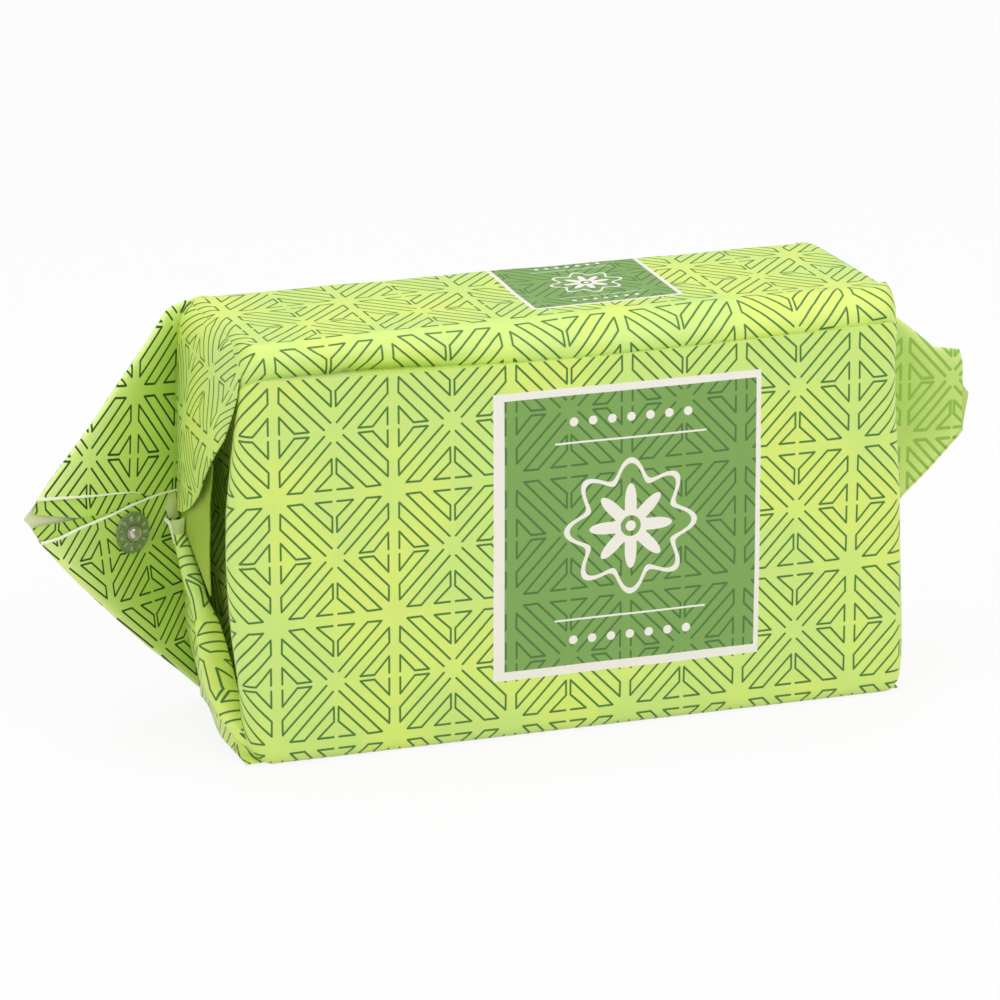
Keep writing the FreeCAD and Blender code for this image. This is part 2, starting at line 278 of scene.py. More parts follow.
def add_node(tree: NodeTree, kind: str, inputs: Sequence[object] | dict = (),
             out: int | str = 0, **settings: object) -> NodeSocket:
    """Add a shader node with its settings and links.

    Args:
        tree: the material's nodes.
        kind: the node's type, without "ShaderNode".
        inputs: values or output sockets for its inputs, in order or by name or index.
        out: the output wanted.
        settings: the node's properties.

    Returns:
        That output.
    """
    node = tree.nodes.new("ShaderNode" + kind)
    for key, value in settings.items():
        setattr(node, key, value)
    pairs = inputs.items() if isinstance(inputs, dict) else enumerate(inputs)
    for key, value in pairs:
        if isinstance(value, NodeSocket):
            tree.links.new(value, node.inputs[key])
        else:
            node.inputs[key].default_value = value
    return node.outputs[out]


@dataclass(frozen=True)
class Finish:
    """What every finish has: a name, and how smooth its surface is."""

    name: str
    roughness: float

    def make(self) -> Material:
        """Build the material.

        Returns:
            The material.
        """
        material = bpy.data.materials.new(self.name)
        material.use_nodes = True
        tree = material.node_tree
        shader = tree.nodes["Principled BSDF"]
        shader.inputs["Roughness"].default_value = self.roughness
        tree.links.new(self.colour(tree, shader), shader.inputs["Base Color"])
        return material

    def colour(self, tree: NodeTree, shader: Node) -> NodeSocket:
        """Give the colour, and set what else the shader needs."""
        raise NotImplementedError


@dataclass(frozen=True)
class Lattice:
    """The wrapper's all-over print: a net of eight-rayed stars joined by fine strokes."""

    period_across: float = 19.37
    period_up: float = 20.3
    first_across: float = -50.78
    first_up: float = 2.9
    stroke: float = 0.34
    soft: float = 0.05
    # One eighth of a cell, from a star (0, 0) to the next one (0.5, 0.5); the rest mirrors it.
    strokes: Line = (
        (0.474, 0.420), (0.109, 0.047), (0.229, 0.045), (0.480, 0.293),
        (0.481, 0.173), (0.342, 0.047), (0.476, 0.047),
    )

    def at(self, across: float, up: float) -> tuple[float, float]:
        """Flat place, in millimetres, of a place counted in periods."""
        return (self.first_across + self.period_across * across,
                self.first_up + self.period_up * up)

    def mask(self, tree: NodeTree, across: NodeSocket, up: NodeSocket) -> NodeSocket:
        """Draw the strokes.

        Args:
            tree: the material's nodes.
            across: flat place across the sheet, in millimetres.
            up: flat place up the sheet, in millimetres.

        Returns:
            1 on a stroke, 0 off it.
        """
        node = partial(add_node, tree)
        shares = []
        for value, first, period in ((across, self.first_across, self.period_across),
                                     (up, self.first_up, self.period_up)):
            moved = node("Math", (value, first), operation="SUBTRACT")
            cell = node("Math", (moved, period), operation="DIVIDE")
            whole = node("Math", (cell,), operation="ROUND")
            part = node("Math", (cell, whole), operation="SUBTRACT")
            shares.append(node("Math", (part,), operation="ABSOLUTE"))
        point = node("CombineXYZ", (node("Math", shares, operation="MAXIMUM"),
                                    node("Math", shares, operation="MINIMUM")))
        nearest = 1.0
        for (x, y), (next_x, next_y) in zip(self.strokes, self.strokes[1:]):
            run = (next_x - x, next_y - y, 0.0)
            scale = 1 / (run[0] ** 2 + run[1] ** 2)
            offset = node("VectorMath", (point, (x, y, 0.0)), operation="SUBTRACT")
            along = node("VectorMath", (offset, run), "Value", operation="DOT_PRODUCT")
            share = node("Math", (along, scale), operation="MULTIPLY", use_clamp=True)
            foot = node("VectorMath", {0: run, "Scale": share}, operation="SCALE")
            away = node("VectorMath", (offset, foot), "Value", operation="DISTANCE")
            nearest = node("Math", (nearest, away), operation="MINIMUM")
        half = self.stroke / 2 / self.period_across
        edge = self.soft / self.period_across
        return node("MapRange", (nearest, half - edge, half + edge, 1.0, 0.0),
                    interpolation_type="SMOOTHSTEP")


@dataclass(frozen=True)
class Label:
    """A printed label: a cream frame round a green field with a rosette, rules and dots."""

    left: float
    right: float
    low: float
    high: float
    scale: float = 1.0
    slant: float = 0.0
    frame_left: float = 1.85
    frame_right: float = 0.8
    frame_low: float = 1.45
    frame_high: float = 1.25
    off_centre: float = 0.5
    # The rosette: a wavy ring, petals and a pierced heart with its dot.
    petals: float = 8.0
    ring_radius: float = 9.3
    ring_wave: float = 1.5
    petal_reach: float = 4.9
    petal_wave: float = 2.1
    heart: float = 1.7
    pip: float = 0.86
    ring_half: float = 0.48
    # The rules above and below it, with a row of dots beyond each.
    rule_high: float = 14.6
    rule_reach: float = 12.6
    rule_half: float = 0.16
    dots_high: float = 18.0
    dots_reach: float = 11.6
    pitch: float = 3.2
    dot: float = 0.72
    soft: float = 0.06
    edge_soft: float = 0.07

    def panel(self, tree: NodeTree, x: NodeSocket, y: NodeSocket, framed: bool) -> NodeSocket:
        """Fill the label's rectangle, or the field inside its frame: 1 inside.

        Args:
            tree: the material's nodes.
            x: place across, in millimetres.
            y: place up or into the brick, in millimetres.
            framed: whether it is the field inside the frame.

        Returns:
            1 inside, 0 outside.
        """
        node = partial(add_node, tree)
        inside = 1.0 if framed else 0.0
        left, right = self.left + self.frame_left * inside, self.right - self.frame_right * inside
        low, high = self.low + self.frame_low * inside, self.high - self.frame_high * inside
        over, *others = (node("Math", pair, operation="SUBTRACT")
                         for pair in ((left, x), (x, right), (low, y), (y, high)))
        for other in others:
            over = node("Math", (over, other), operation="MAXIMUM")
        return node("MapRange", (over, -self.edge_soft, self.edge_soft, 1.0, 0.0),
                    interpolation_type="SMOOTHSTEP")

    def motif(self, tree: NodeTree, across: NodeSocket, up: NodeSocket) -> NodeSocket:
        """Draw the cream motif, centred on the label: 1 on it.

        Args:
            tree: the material's nodes.
            across: flat place across the sheet, in millimetres.
            up: flat place up the sheet, in millimetres.

        Returns:
            1 on the motif, 0 off it.
        """
        node = partial(add_node, tree)
        middles = ((self.left + self.right) / 2 + self.off_centre, (self.low + self.high) / 2)
        x, y = (node("Math", (node("Math", (value, middle), operation="SUBTRACT"), self.scale),
                     operation="DIVIDE") for value, middle in zip((across, up), middles))
        radius = node("VectorMath", (node("CombineXYZ", (x, y)),), "Value", operation="LENGTH")
        turns = node("Math", (node("Math", (y, x), operation="ARCTAN2"), self.petals),
                     operation="MULTIPLY")
        wave = node("Math", (turns,), operation="COSINE")
        width, height = (node("Math", (value,), operation="ABSOLUTE") for value in (x, y))
        ring = node("Math", (wave, self.ring_wave, self.ring_radius), operation="MULTIPLY_ADD")
        petal = node("Math", (wave, self.petal_wave, self.petal_reach), operation="MULTIPLY_ADD")
        ring_off, rule_off = (
            node("Math", (node("Math", pair, operation="SUBTRACT"),), operation="ABSOLUTE")
            for pair in ((radius, ring), (height, self.rule_high)))
        past, hole, rule_end = (node("Math", pair, operation="SUBTRACT") for pair in (
            (radius, petal), (self.heart, radius), (width, self.rule_reach)))
        # Each mark is a value that is below its limit where there is ink.
        marks = (
            (ring_off, self.ring_half, self.soft),
            (node("Math", (past, hole), operation="MAXIMUM"), 0.0, self.soft),
            (radius, self.pip, self.soft),
            (node("Math", (rule_off, rule_end), operation="MAXIMUM"), self.rule_half, 0.04),
            (self.row(tree, x, height, width), self.dot, self.soft),
        )
        total = 0.0
        for value, limit, soft in marks:
            mark = node("MapRange", (value, limit - soft, limit + soft, 1.0, 0.0),
                        interpolation_type="SMOOTHSTEP")
            total = node("Math", (total, mark), operation="MAXIMUM")
        return total

    def row(self, tree: NodeTree, x: NodeSocket,
            height: NodeSocket, width: NodeSocket) -> NodeSocket:
        """Measure how far a place is from the nearest dot's centre.

        Args:
            tree: the material's nodes.
            x: place across, in millimetres.
            height: distance above or below the middle.
            width: distance beside the middle.

        Returns:
            The distance, on the label's scale.
        """
        node = partial(add_node, tree)
        share = node("Math", (x, self.pitch), operation="DIVIDE")
        whole = node("Math", (share,), operation="ROUND")
        part = node("Math", (share, whole), operation="SUBTRACT")
        off = node("Math", (part, self.pitch), operation="MULTIPLY")
        rise = node("Math", (height, self.dots_high), operation="SUBTRACT")
        away = node("VectorMath", (node("CombineXYZ", (off, rise)),), "Value", operation="LENGTH")
        beyond = node("Math", (width, self.dots_reach), operation="GREATER_THAN")
        return node("Math", (away, beyond), operation="ADD")


@dataclass(frozen=True)
class Paper(Finish):
    """Wrapping paper: soft crumples 5 mm apart and a fine fibre."""

    roughness: float = 0.6
    crumple: float = 0.2
    fibre: float = 0.05

    def relief(self, tree: NodeTree, shader: Node) -> NodeSocket:
        """Give the handled surface, and return the flat places in millimetres.

        Args:
            tree: the material's nodes.
            shader: the Principled shader.

        Returns:
            The flat places, in millimetres.
        """
        node = partial(add_node, tree)
        places = node("UVMap", uv_map=SHEET_MAP)
        folds, fibre = (node("TexNoise", {"Vector": places, "Scale": scale, "Detail": detail},
                             noise_dimensions="2D") for scale, detail in ((0.2, 3.0), (3.2, 2.0)))
        height = node("Math", (fibre, self.fibre, folds), operation="MULTIPLY_ADD")
        normal = node("Bump", {"Strength": self.crumple, "Distance": 0.6 * MM, "Height": height})
        tree.links.new(normal, shader.inputs["Normal"])
        return places


@dataclass(frozen=True)
class PrintedPaper(Paper):
    """Coated wrapping paper with a flexo print: satin, slightly uneven in ink and tone.

    The paper on the butter looks pale.  Where it stands free it has nothing white
    behind it and looks deeper: the loose ends get a deeper tone and darker ink as
    painted shade, and a painted backlight tone where light comes through them.
    """

    roughness: float = 0.42
    tone: str = "cce77b"
    tone_yellow: str = "d9ec72"
    # Painted backlight: a lighter tone laid where the attribute says light comes through; empty for
    # paper on the butter.
    painted_backlight_tone: str = ""
    ink: str = "477a2c"
    stroke: float = 0.34
    labels: tuple[Label, ...] = ()
    lattice: Lattice = Lattice()
    field: str = "7ba552"
    field_ink: str = "4a7434"
    cream: str = "f1ece2"

    def colour(self, tree: NodeTree, shader: Node) -> NodeSocket:
        """Lay the print on the paper.

        Args:
            tree: the material's nodes.
            shader: the Principled shader.

        Returns:
            The colour.
        """
        node = partial(add_node, tree)
        places = self.relief(tree, shader)
        shader.inputs["IOR"].default_value = 1.46
        across = node("SeparateXYZ", (places,))
        up = across.node.outputs[1]
        swell = node("TexNoise", {"Vector": places, "Scale": 0.045, "Detail": 2.0},
                     noise_dimensions="2D")
        share = node("MapRange", (swell, 0.40, 0.64, 0.0, 1.0), interpolation_type="SMOOTHSTEP")
        strokes = replace(self.lattice, stroke=self.stroke).mask(tree, across, up)
        layers = [(share, linear(self.tone_yellow))]
        # Painted backlight: lighten loose paper towards its outline and tip.
        if self.painted_backlight_tone:
            backlight_or_whitened = node("Attribute", out="Fac", attribute_name=PAINTED_BACKLIGHT_OR_PRESSED)
            layers.append((backlight_or_whitened, linear(self.painted_backlight_tone)))
        layers.append((strokes, linear(self.ink)))
        cream = linear(self.cream)
        for label in self.labels:
            slanted = node("Math", (up, label.slant, across), operation="MULTIPLY_ADD")
            field = linear(self.field)
            for mask, over in ((strokes, linear(self.field_ink)),
                               (label.motif(tree, slanted, up), cream)):
                field = node("Mix", {SHARE: mask, FIRST: field, SECOND: over}, MIXED,
                             data_type="RGBA")
            layers += [(label.panel(tree, slanted, up, False), cream),
                       (label.panel(tree, slanted, up, True), field)]
        colour = linear(self.tone)
        for mask, over in layers:
            colour = node("Mix", {SHARE: mask, FIRST: colour, SECOND: over}, MIXED,
                          data_type="RGBA")
        return colour


@dataclass(frozen=True)
class PlainPaper(Paper):
    """The unprinted side or a cut edge of the wrapping paper: matt and paler."""

    tone: str = "c6d68c"
    shade: str = "b4c873"

    def colour(self, tree: NodeTree, shader: Node) -> NodeSocket:
        """Cloud the bare paper.

        Args:
            tree: the material's nodes.
            shader: the Principled shader.

        Returns:
            The colour.
        """
        cloud = add_node(tree, "TexNoise", {"Vector": self.relief(tree, shader), "Scale": 0.3,
                                            "Detail": 3.0}, noise_dimensions="2D")
        return add_node(tree, "Mix", {SHARE: cloud, FIRST: linear(self.tone),
                                      SECOND: linear(self.shade)}, MIXED, data_type="RGBA")


@dataclass(frozen=True)
class ClearPlastic(Finish):
    """Embossed clear PVC of the seal: glossy, greyish green, whitened where it is pressed."""

    name: str = "seal_clear_plastic"
    roughness: float = 0.16
    tint: str = "6f8a48"
    light: str = "a4b582"
    whitened: str = "d9e4bf"
    opacity: float = 0.58

    def colour(self, tree: NodeTree, shader: Node) -> NodeSocket:
        """Whiten the embossed marks, and roughen the surface slightly.

        Args:
            tree: the material's nodes.
            shader: the Principled shader.

        Returns:
            The colour.
        """
        node = partial(add_node, tree)
        shader.inputs["Alpha"].default_value = self.opacity
        shader.inputs["IOR"].default_value = 1.5
        grain = node("TexNoise", {"Vector": node("TexCoord", out="Object"), "Scale": 900.0,
                                  "Detail": 3.0})
        normal = node("Bump", {"Strength": 0.3, "Distance": 0.2 * MM, "Height": grain})
        tree.links.new(normal, shader.inputs["Normal"])
        pressed = node("Attribute", out="Fac", attribute_name=PAINTED_BACKLIGHT_OR_PRESSED)
        colour = linear(self.tint)
        for mask, over in ((grain, self.light), (pressed, self.whitened)):
            colour = node("Mix", {SHARE: mask, FIRST: colour, SECOND: linear(over)}, MIXED,
                          data_type="RGBA")
        return colour


@dataclass(frozen=True)
class BrightMetal(Finish):
    """Pressed aluminium of the stud: bright, with faint turning marks."""

    name: str = "stud_pressed_aluminium"
    roughness: float = 0.3
    tone: str = "e8dedf"
    shade: str = "b4a8a9"

    def colour(self, tree: NodeTree, shader: Node) -> NodeSocket:
        """Mark the metal.

        Args:
            tree: the material's nodes.
            shader: the Principled shader.

        Returns:
            The colour.
        """
        shader.inputs["Metallic"].default_value = 1.0
        places = add_node(tree, "TexCoord", out="Object")
        marks = add_node(tree, "TexNoise", {"Vector": places, "Scale": 1500.0, "Detail": 2.0})
        return add_node(tree, "Mix", {SHARE: marks, FIRST: linear(self.tone),
                                      SECOND: linear(self.shade)}, MIXED, data_type="RGBA")


# ---------------------------------------------------------------- the wrapped brick


@dataclass(frozen=True)
class Brick:
    """The brick's own sizes, in millimetres, and the places that its wrapper shares."""

    length: float = 110.0
    depth: float = 36.2
    height: float = 67.7
    end_radius: float = 3.2
    front_ridge: float = 6.5
    back_ridge: float = 3.0
    sole: float = 2.0
    seam_height: float = 61.8
    seam_sag: float = 1.1
    lap: float = 0.4

    @property
    def half(self) -> float:
        """Half the length."""
        return self.length / 2

    @property
    def front(self) -> float:
        """Y of the front face."""
        return -self.depth / 2

    @property
    def back(self) -> float:
        """Y of the back face."""
        return self.depth / 2


@dataclass
class Station:
    """One row of the wrapper's section: its place, and its distance round the brick."""

    deep: float
    high: float
    along: float


@dataclass
class Wrapper:
    """The tube of paper round the brick: one closed sheet with its lap on the front."""

    brick: Brick
    lattice: Lattice
    low: Vector
    top: Vector
    # The print: the depth of its first row on the top, its skew there, and the rows between.
    top_row_inset: float = 5.7
    top_skew: float = 0.047
    rows_behind: int = 7
    ridge_rows: int = 12
    # Above the lap: a lip of paper's thickness, and a dent with its place, length and height.
    lip: tuple[float, float] = (0.36, 0.9)
    dent: tuple[float, float, float, float] = (2.6, -33.0, 15.0, 3.0)
    # Left of this X the lap's upturned edge is painted in the pale inside paper: its real cut edge,
    # kept pale only here as a painted highlight.
    bare: float = -38.0  # left of this X the lap's edge shows the paper's inside
    # How far a swollen edge reaches along and into the brick.
    swell_reach: tuple[float, float] = (17.0, 13.0)
    # How deep the end is pulled in behind its left and its right front edge.
    hollows: tuple[float, float] = (4.0, 2.0)
    heel: float = 2.8
    front_hollow: float = 0.25
    back_belly: float = 0.35
    # How far each end's front edge swells out, by the share of the height.
    left_swell: Line = (
        (0, -0.9), (0.02, -0.6), (0.075, 0.1), (0.20, 1.1), (0.30, 2.2), (0.42, 3.0),
        (0.52, 3.2), (0.61, 3.0), (0.73, 1.9), (0.84, 0.7), (0.95, 0.3), (1, 0.0))
    right_swell: Line = (
        (0, 1.2), (0.09, 1.6), (0.18, 1.5), (0.33, 1.1), (0.49, 0.6), (0.55, 0.35),
        (0.66, -0.3), (0.81, -0.75), (0.92, -0.5), (1, 0.0))
    stations: list[Station] = field(default_factory=list)
    ups: list[float] = field(default_factory=list)

    def __post_init__(self) -> None:
        """Work out the section and the print's run round it."""
        self.stations = self.section()
        self.ups = self.flat_rows(self.stations)

    def section(self) -> list[Station]:
        """Walk round the brick from the lap's edge down the front and back up to the lap.

        Returns:
            The rows, in order.
        """
        brick = self.brick
        front, back, high = brick.front - brick.lap, brick.back, brick.height
        points = [(front, z) for z in spread(brick.seam_height, brick.sole, 60)]
        points += self.corner(front + brick.sole, brick.sole, brick.sole, 180, 270, 6)
        points += [(y, 0.0) for y in spread(front + brick.sole, back - brick.sole, 18)[1:]]
        points += self.corner(back - brick.sole, brick.sole, brick.sole, 270, 360, 6)
        points += [(back, z) for z in spread(brick.sole, high - brick.back_ridge, 40)[1:]]
        points += self.corner(back - brick.back_ridge, high - brick.back_ridge,
                              brick.back_ridge, 0, 90, 7)
        points += [(y, high) for y in
                   spread(back - brick.back_ridge, brick.front + brick.front_ridge, 20)[1:]]
        end = 180 - math.degrees(math.asin(
            (brick.seam_height - high + brick.front_ridge) / brick.front_ridge))
        points += self.corner(brick.front + brick.front_ridge, high - brick.front_ridge,
                              brick.front_ridge, 90, end, self.ridge_rows)
        stations = [Station(*points[0], 0.0)]
        for deep, up in points[1:]:
            last = stations[-1]
            stations.append(Station(deep, up, last.along + math.hypot(
                deep - last.deep, up - last.high)))
        return stations

    @staticmethod
    def corner(deep: float, high: float, radius: float, start: float, end: float,
               count: int) -> list[tuple[float, float]]:
        """Points of a rounded corner, without its first.

        Args:
            deep: Y of the corner's centre.
            high: height of the corner's centre.
            radius: the corner's radius.
            start: the first angle, in degrees.
            end: the last angle, in degrees.
            count: the number of steps.

        Returns:
            (Y, height) points.
        """
        return [(deep + radius * math.cos(math.radians(angle)),
                 high + radius * math.sin(math.radians(angle)))
                for angle in spread(start, end, count)[1:]]

    def columns(self) -> list[tuple[float, float, float]]:
        """Stations along the brick: (X, inset towards the middle, flat distance).

        Returns:
            The columns, from left to right.
        """
        brick = self.brick
        radius, half = brick.end_radius, brick.half
        right = []
        for angle in spread(0, 90, 12)[1:]:
            turn = math.radians(angle)
            right.append((half - radius + radius * math.sin(turn), radius * (1 - math.cos(turn)),
                          half - radius + radius * turn))
        edge = right[-1][2]
        for inset in spread(radius, brick.depth / 2, 14)[1:]:
            right.append((half, inset, edge + inset - radius))
        middle = [(x, 0.0, x) for x in spread(radius - half, half - radius, 96)]
        left = [(-x, inset, -flat) for x, inset, flat in reversed(right)]
        return left + middle + right

    def seam(self, x: float) -> float:
        """Height of the lap's edge: it sags a little in the middle."""
        return self.brick.seam_height + self.brick.seam_sag * (x / self.brick.half) ** 2

    def swell(self, point: Vector) -> Vector:
        """Puff, dent and waver the tube where the real one does.

        Args:
            point: a place on the plain brick.

        Returns:
            Where the paper lies there.
        """
        brick, (along, into) = self.brick, self.swell_reach
        x, y, z = point
        rise = z / brick.height
        nearness = smooth((brick.front + into - y) / into)
        for side, line in ((Side.LEFT, self.left_swell), (Side.RIGHT, self.right_swell)):
            x += side * along_line(rise, line) * nearness * smooth(
                (side * x - brick.half + along) / along)
        at_end = smooth((abs(x) - brick.half + 2) / 2) * math.sin(math.pi * min(max(rise, 0), 1))
        if x < 0:
            x += self.heel * smooth((-x - brick.half + 8) / 8) * smooth((y + 6) / 22) * smooth(
                (16 - z) / 16)
        hollow = self.hollows[0 if x < 0 else 1] * smooth((y - brick.front - 4) / 5)
        x -= math.copysign(hollow * at_end, x)
        crown = math.cos(math.pi * x / brick.length) if abs(x) < brick.half else 0
        if y < brick.front + 1:
            y -= self.front_hollow * crown * math.sin(math.pi * rise)
        if y > brick.back - 1:
            y += self.back_belly * crown * math.sin(math.pi * rise)
        here = Vector((x, y, z))
        return here + self.ripple(here)

    def ripple(self, here: Vector) -> Vector:
        """The gentle unevenness of paper on butter at a place.

        Args:
            here: the place, in millimetres.

        Returns:
            How far the paper moves.
        """
        brick = self.brick
        y, z = here.y, here.z
        away = Vector((0, 1 if y > 0 else -1, 0)) if abs(y) > brick.back - 2 else Vector((0, 0, 1))
        if z < 3:
            away = Vector((0, 0, 0))
        return away * (BUTTER_SWELLS.at(here) + PANEL_SWELLS.at(here))

    def keep_in(self, point: Vector) -> Vector:
        """Hold a point inside the frame's box."""
        return Vector(min(max(value, low), top)
                      for value, low, top in zip(point, self.low, self.top))

    def build(self) -> Object:
        """Fold the tube, close its ends and its lap.

        Returns:
            The tube.
        """
        brick = self.brick
        stations, columns = self.stations, self.columns()
        lowest = brick.depth / 2
        ridge = len(stations) - self.ridge_rows
        deepest, middle, wide, tall = self.dent

        def place(column: int, row: int) -> Vector:
            """Folded place of a grid point.

            Args:
                column: the grid point's column.
                row: the grid point's row.

            Returns:
                The place, in millimetres.
            """
            station = stations[row]
            x, inset, _ = columns[column]
            share = inset / lowest
            deep, high = station.deep, station.high
            seam_shift = self.seam(x) - brick.seam_height
            if station.along < 15 or row >= ridge:
                nearness = smooth((station.high - 45) / 16)
                high += seam_shift * nearness
            if row >= ridge - 2:
                rise = max(high - self.seam(x), 0)
                deep += math.exp(-((x - middle) / wide) ** 2) * deepest * math.exp(-rise / tall)
                deep += self.lip[0] * math.exp(-rise / self.lip[1])
            level = min(max(high, lowest), brick.height - lowest)
            point = Vector((x, deep * (1 - share), high + (level - high) * share))
            return self.keep_in(self.swell(point))

        places = {(c, r): place(c, r) for c in range(len(columns))
                  for r in range(len(stations))}
        runs: dict[tuple[int, int], float] = {}
        centre = len(columns) // 2
        for row in range(len(stations)):
            runs[centre, row] = places[centre, row].x
            for step, end in ((1, len(columns)), (-1, -1)):
                for column in range(centre + step, end, step):
                    here, last = places[column, row], places[column - step, row]
                    runs[column, row] = runs[column - step, row] + step * math.hypot(
                        here.x - last.x, here.y - last.y)

        def flat(column: int, row: int, face_column: int, face_row: int) -> tuple[float, float]:
            """Place on the flat sheet: an end's face carries on from the front panel.

            Args:
                column: the grid point's column.
                row: the grid point's row.
                face_column: the column of the face.
                face_row: the row of the face.

            Returns:
                Place across and up the flat sheet.
            """
            x, _, along = columns[column]
            face_inset = max(columns[face_column][1], columns[face_column + 1][1])
            own = row % len(stations)
            point = places[column, own]
            if stations[own].deep < brick.front + 0.6 and own < len(stations) // 2:
                on_lap = face_row == len(stations) - 1
                return self.lattice.at(0, 0) if on_lap else (runs[column, own], point.z)
            if face_inset > brick.end_radius + 0.01:
                reach = brick.half + point.y - brick.front
                return math.copysign(reach, x), point.z
            along += point.x - x if abs(along) <= brick.half else 0.0
            share = self.ups[own]
            if share < 0:
                share -= self.top_skew * along * smooth((-share - 60) / 50)
            return along, share

        tube = fold_sheet("wrapper_tube", len(columns) - 1, len(stations),
                          lambda column, row: places[column, row % len(stations)], flat)
        # Painted highlight: left of bare, the upturned faces of the lap's cut edge take the pale
        # inside paper; the rest keep their printed slot.
        for polygon in tube.data.polygons:
            centre = polygon.center / MM
            ledge = abs(polygon.normal.z) > 0.6 and centre.y < brick.front + 3
            if ledge and abs(centre.z - self.seam(centre.x)) < 0.4 and centre.x < self.bare:
                polygon.material_index = Face.INSIDE
        merge(tube)
        edit(tube, lambda: bpy.ops.mesh.normals_make_consistent(inside=False))
        return tube

    def over_top(self, x: float, y: float) -> tuple[float, float]:
        """Flat place of the print at a place on the top.

        Args:
            x: place across, in millimetres.
            y: place up or into the brick, in millimetres.

        Returns:
            The flat place, in millimetres.
        """
        rows = [(s.deep, up) for s, up in zip(self.stations, self.ups)
                if s.high > self.brick.height - 0.01]
        rows.sort()
        up = along_line(y, rows)
        ridge = self.brick.front_ridge
        up -= ridge * math.asin(min(max(rows[0][0] - y, 0.0) / ridge, 1.0))
        return x, up - self.top_skew * x * smooth((-up - 60) / 50)

    def behind(self, z: float) -> float:
        """Flat place up the sheet of a height on the back.

        Args:
            z: the height.

        Returns:
            The flat place, in millimetres.
        """
        rows = [(s.high, up) for s, up in zip(self.stations, self.ups)
                if s.deep > self.brick.back - 0.01]
        return along_line(z, rows)

    def flat_rows(self, stations: Sequence[Station]) -> list[float]:
        """Flat place up the sheet of each row, so that the print runs on round the brick.

        Args:
            stations: the section's rows.

        Returns:
            The flat places, in millimetres.
        """
        brick = self.brick
        turn = next(s.along for s in stations if s.high <= 0.01)
        top_start = next(s.along for s in stations if s.high > brick.height - 0.01)
        row = next(s.along for s in stations
                   if s.along > top_start and s.deep < brick.front + self.top_row_inset)
        top_row = self.lattice.first_up - self.rows_behind * self.lattice.period_up
        at_top = top_row + (row - top_start)
        end = stations[-1].along
        along = [0, turn, top_start, end]
        up = [brick.seam_height, 0, at_top, at_top - (end - top_start)]
        return [float(np.interp(s.along, along, up)) for s in stations]


# ---------------------------------------------------------------- the folded ends


@dataclass(frozen=True)
class Register:
    """How the print lies on a loose sheet: where some star centres are."""

    lattice: Lattice
    stars: tuple[tuple[float, float, float, float], ...]

    def __call__(self, first: float, second: float) -> tuple[float, float]:
        """Flat place, in millimetres, of a place in the sheet's own two measures.

        Args:
            first: the sheet's first measure.
            second: the sheet's second measure.

        Returns:
            Place across and up the flat sheet.
        """
        known = np.array([(a, b, 1.0) for a, b, _, _ in self.stars])
        wanted = np.array([self.lattice.at(i, j) for _, _, i, j in self.stars])
        fitted = np.linalg.lstsq(known, wanted, rcond=None)[0]
        across, up = np.array((first, second, 1.0)) @ fitted
        return float(across), float(up)


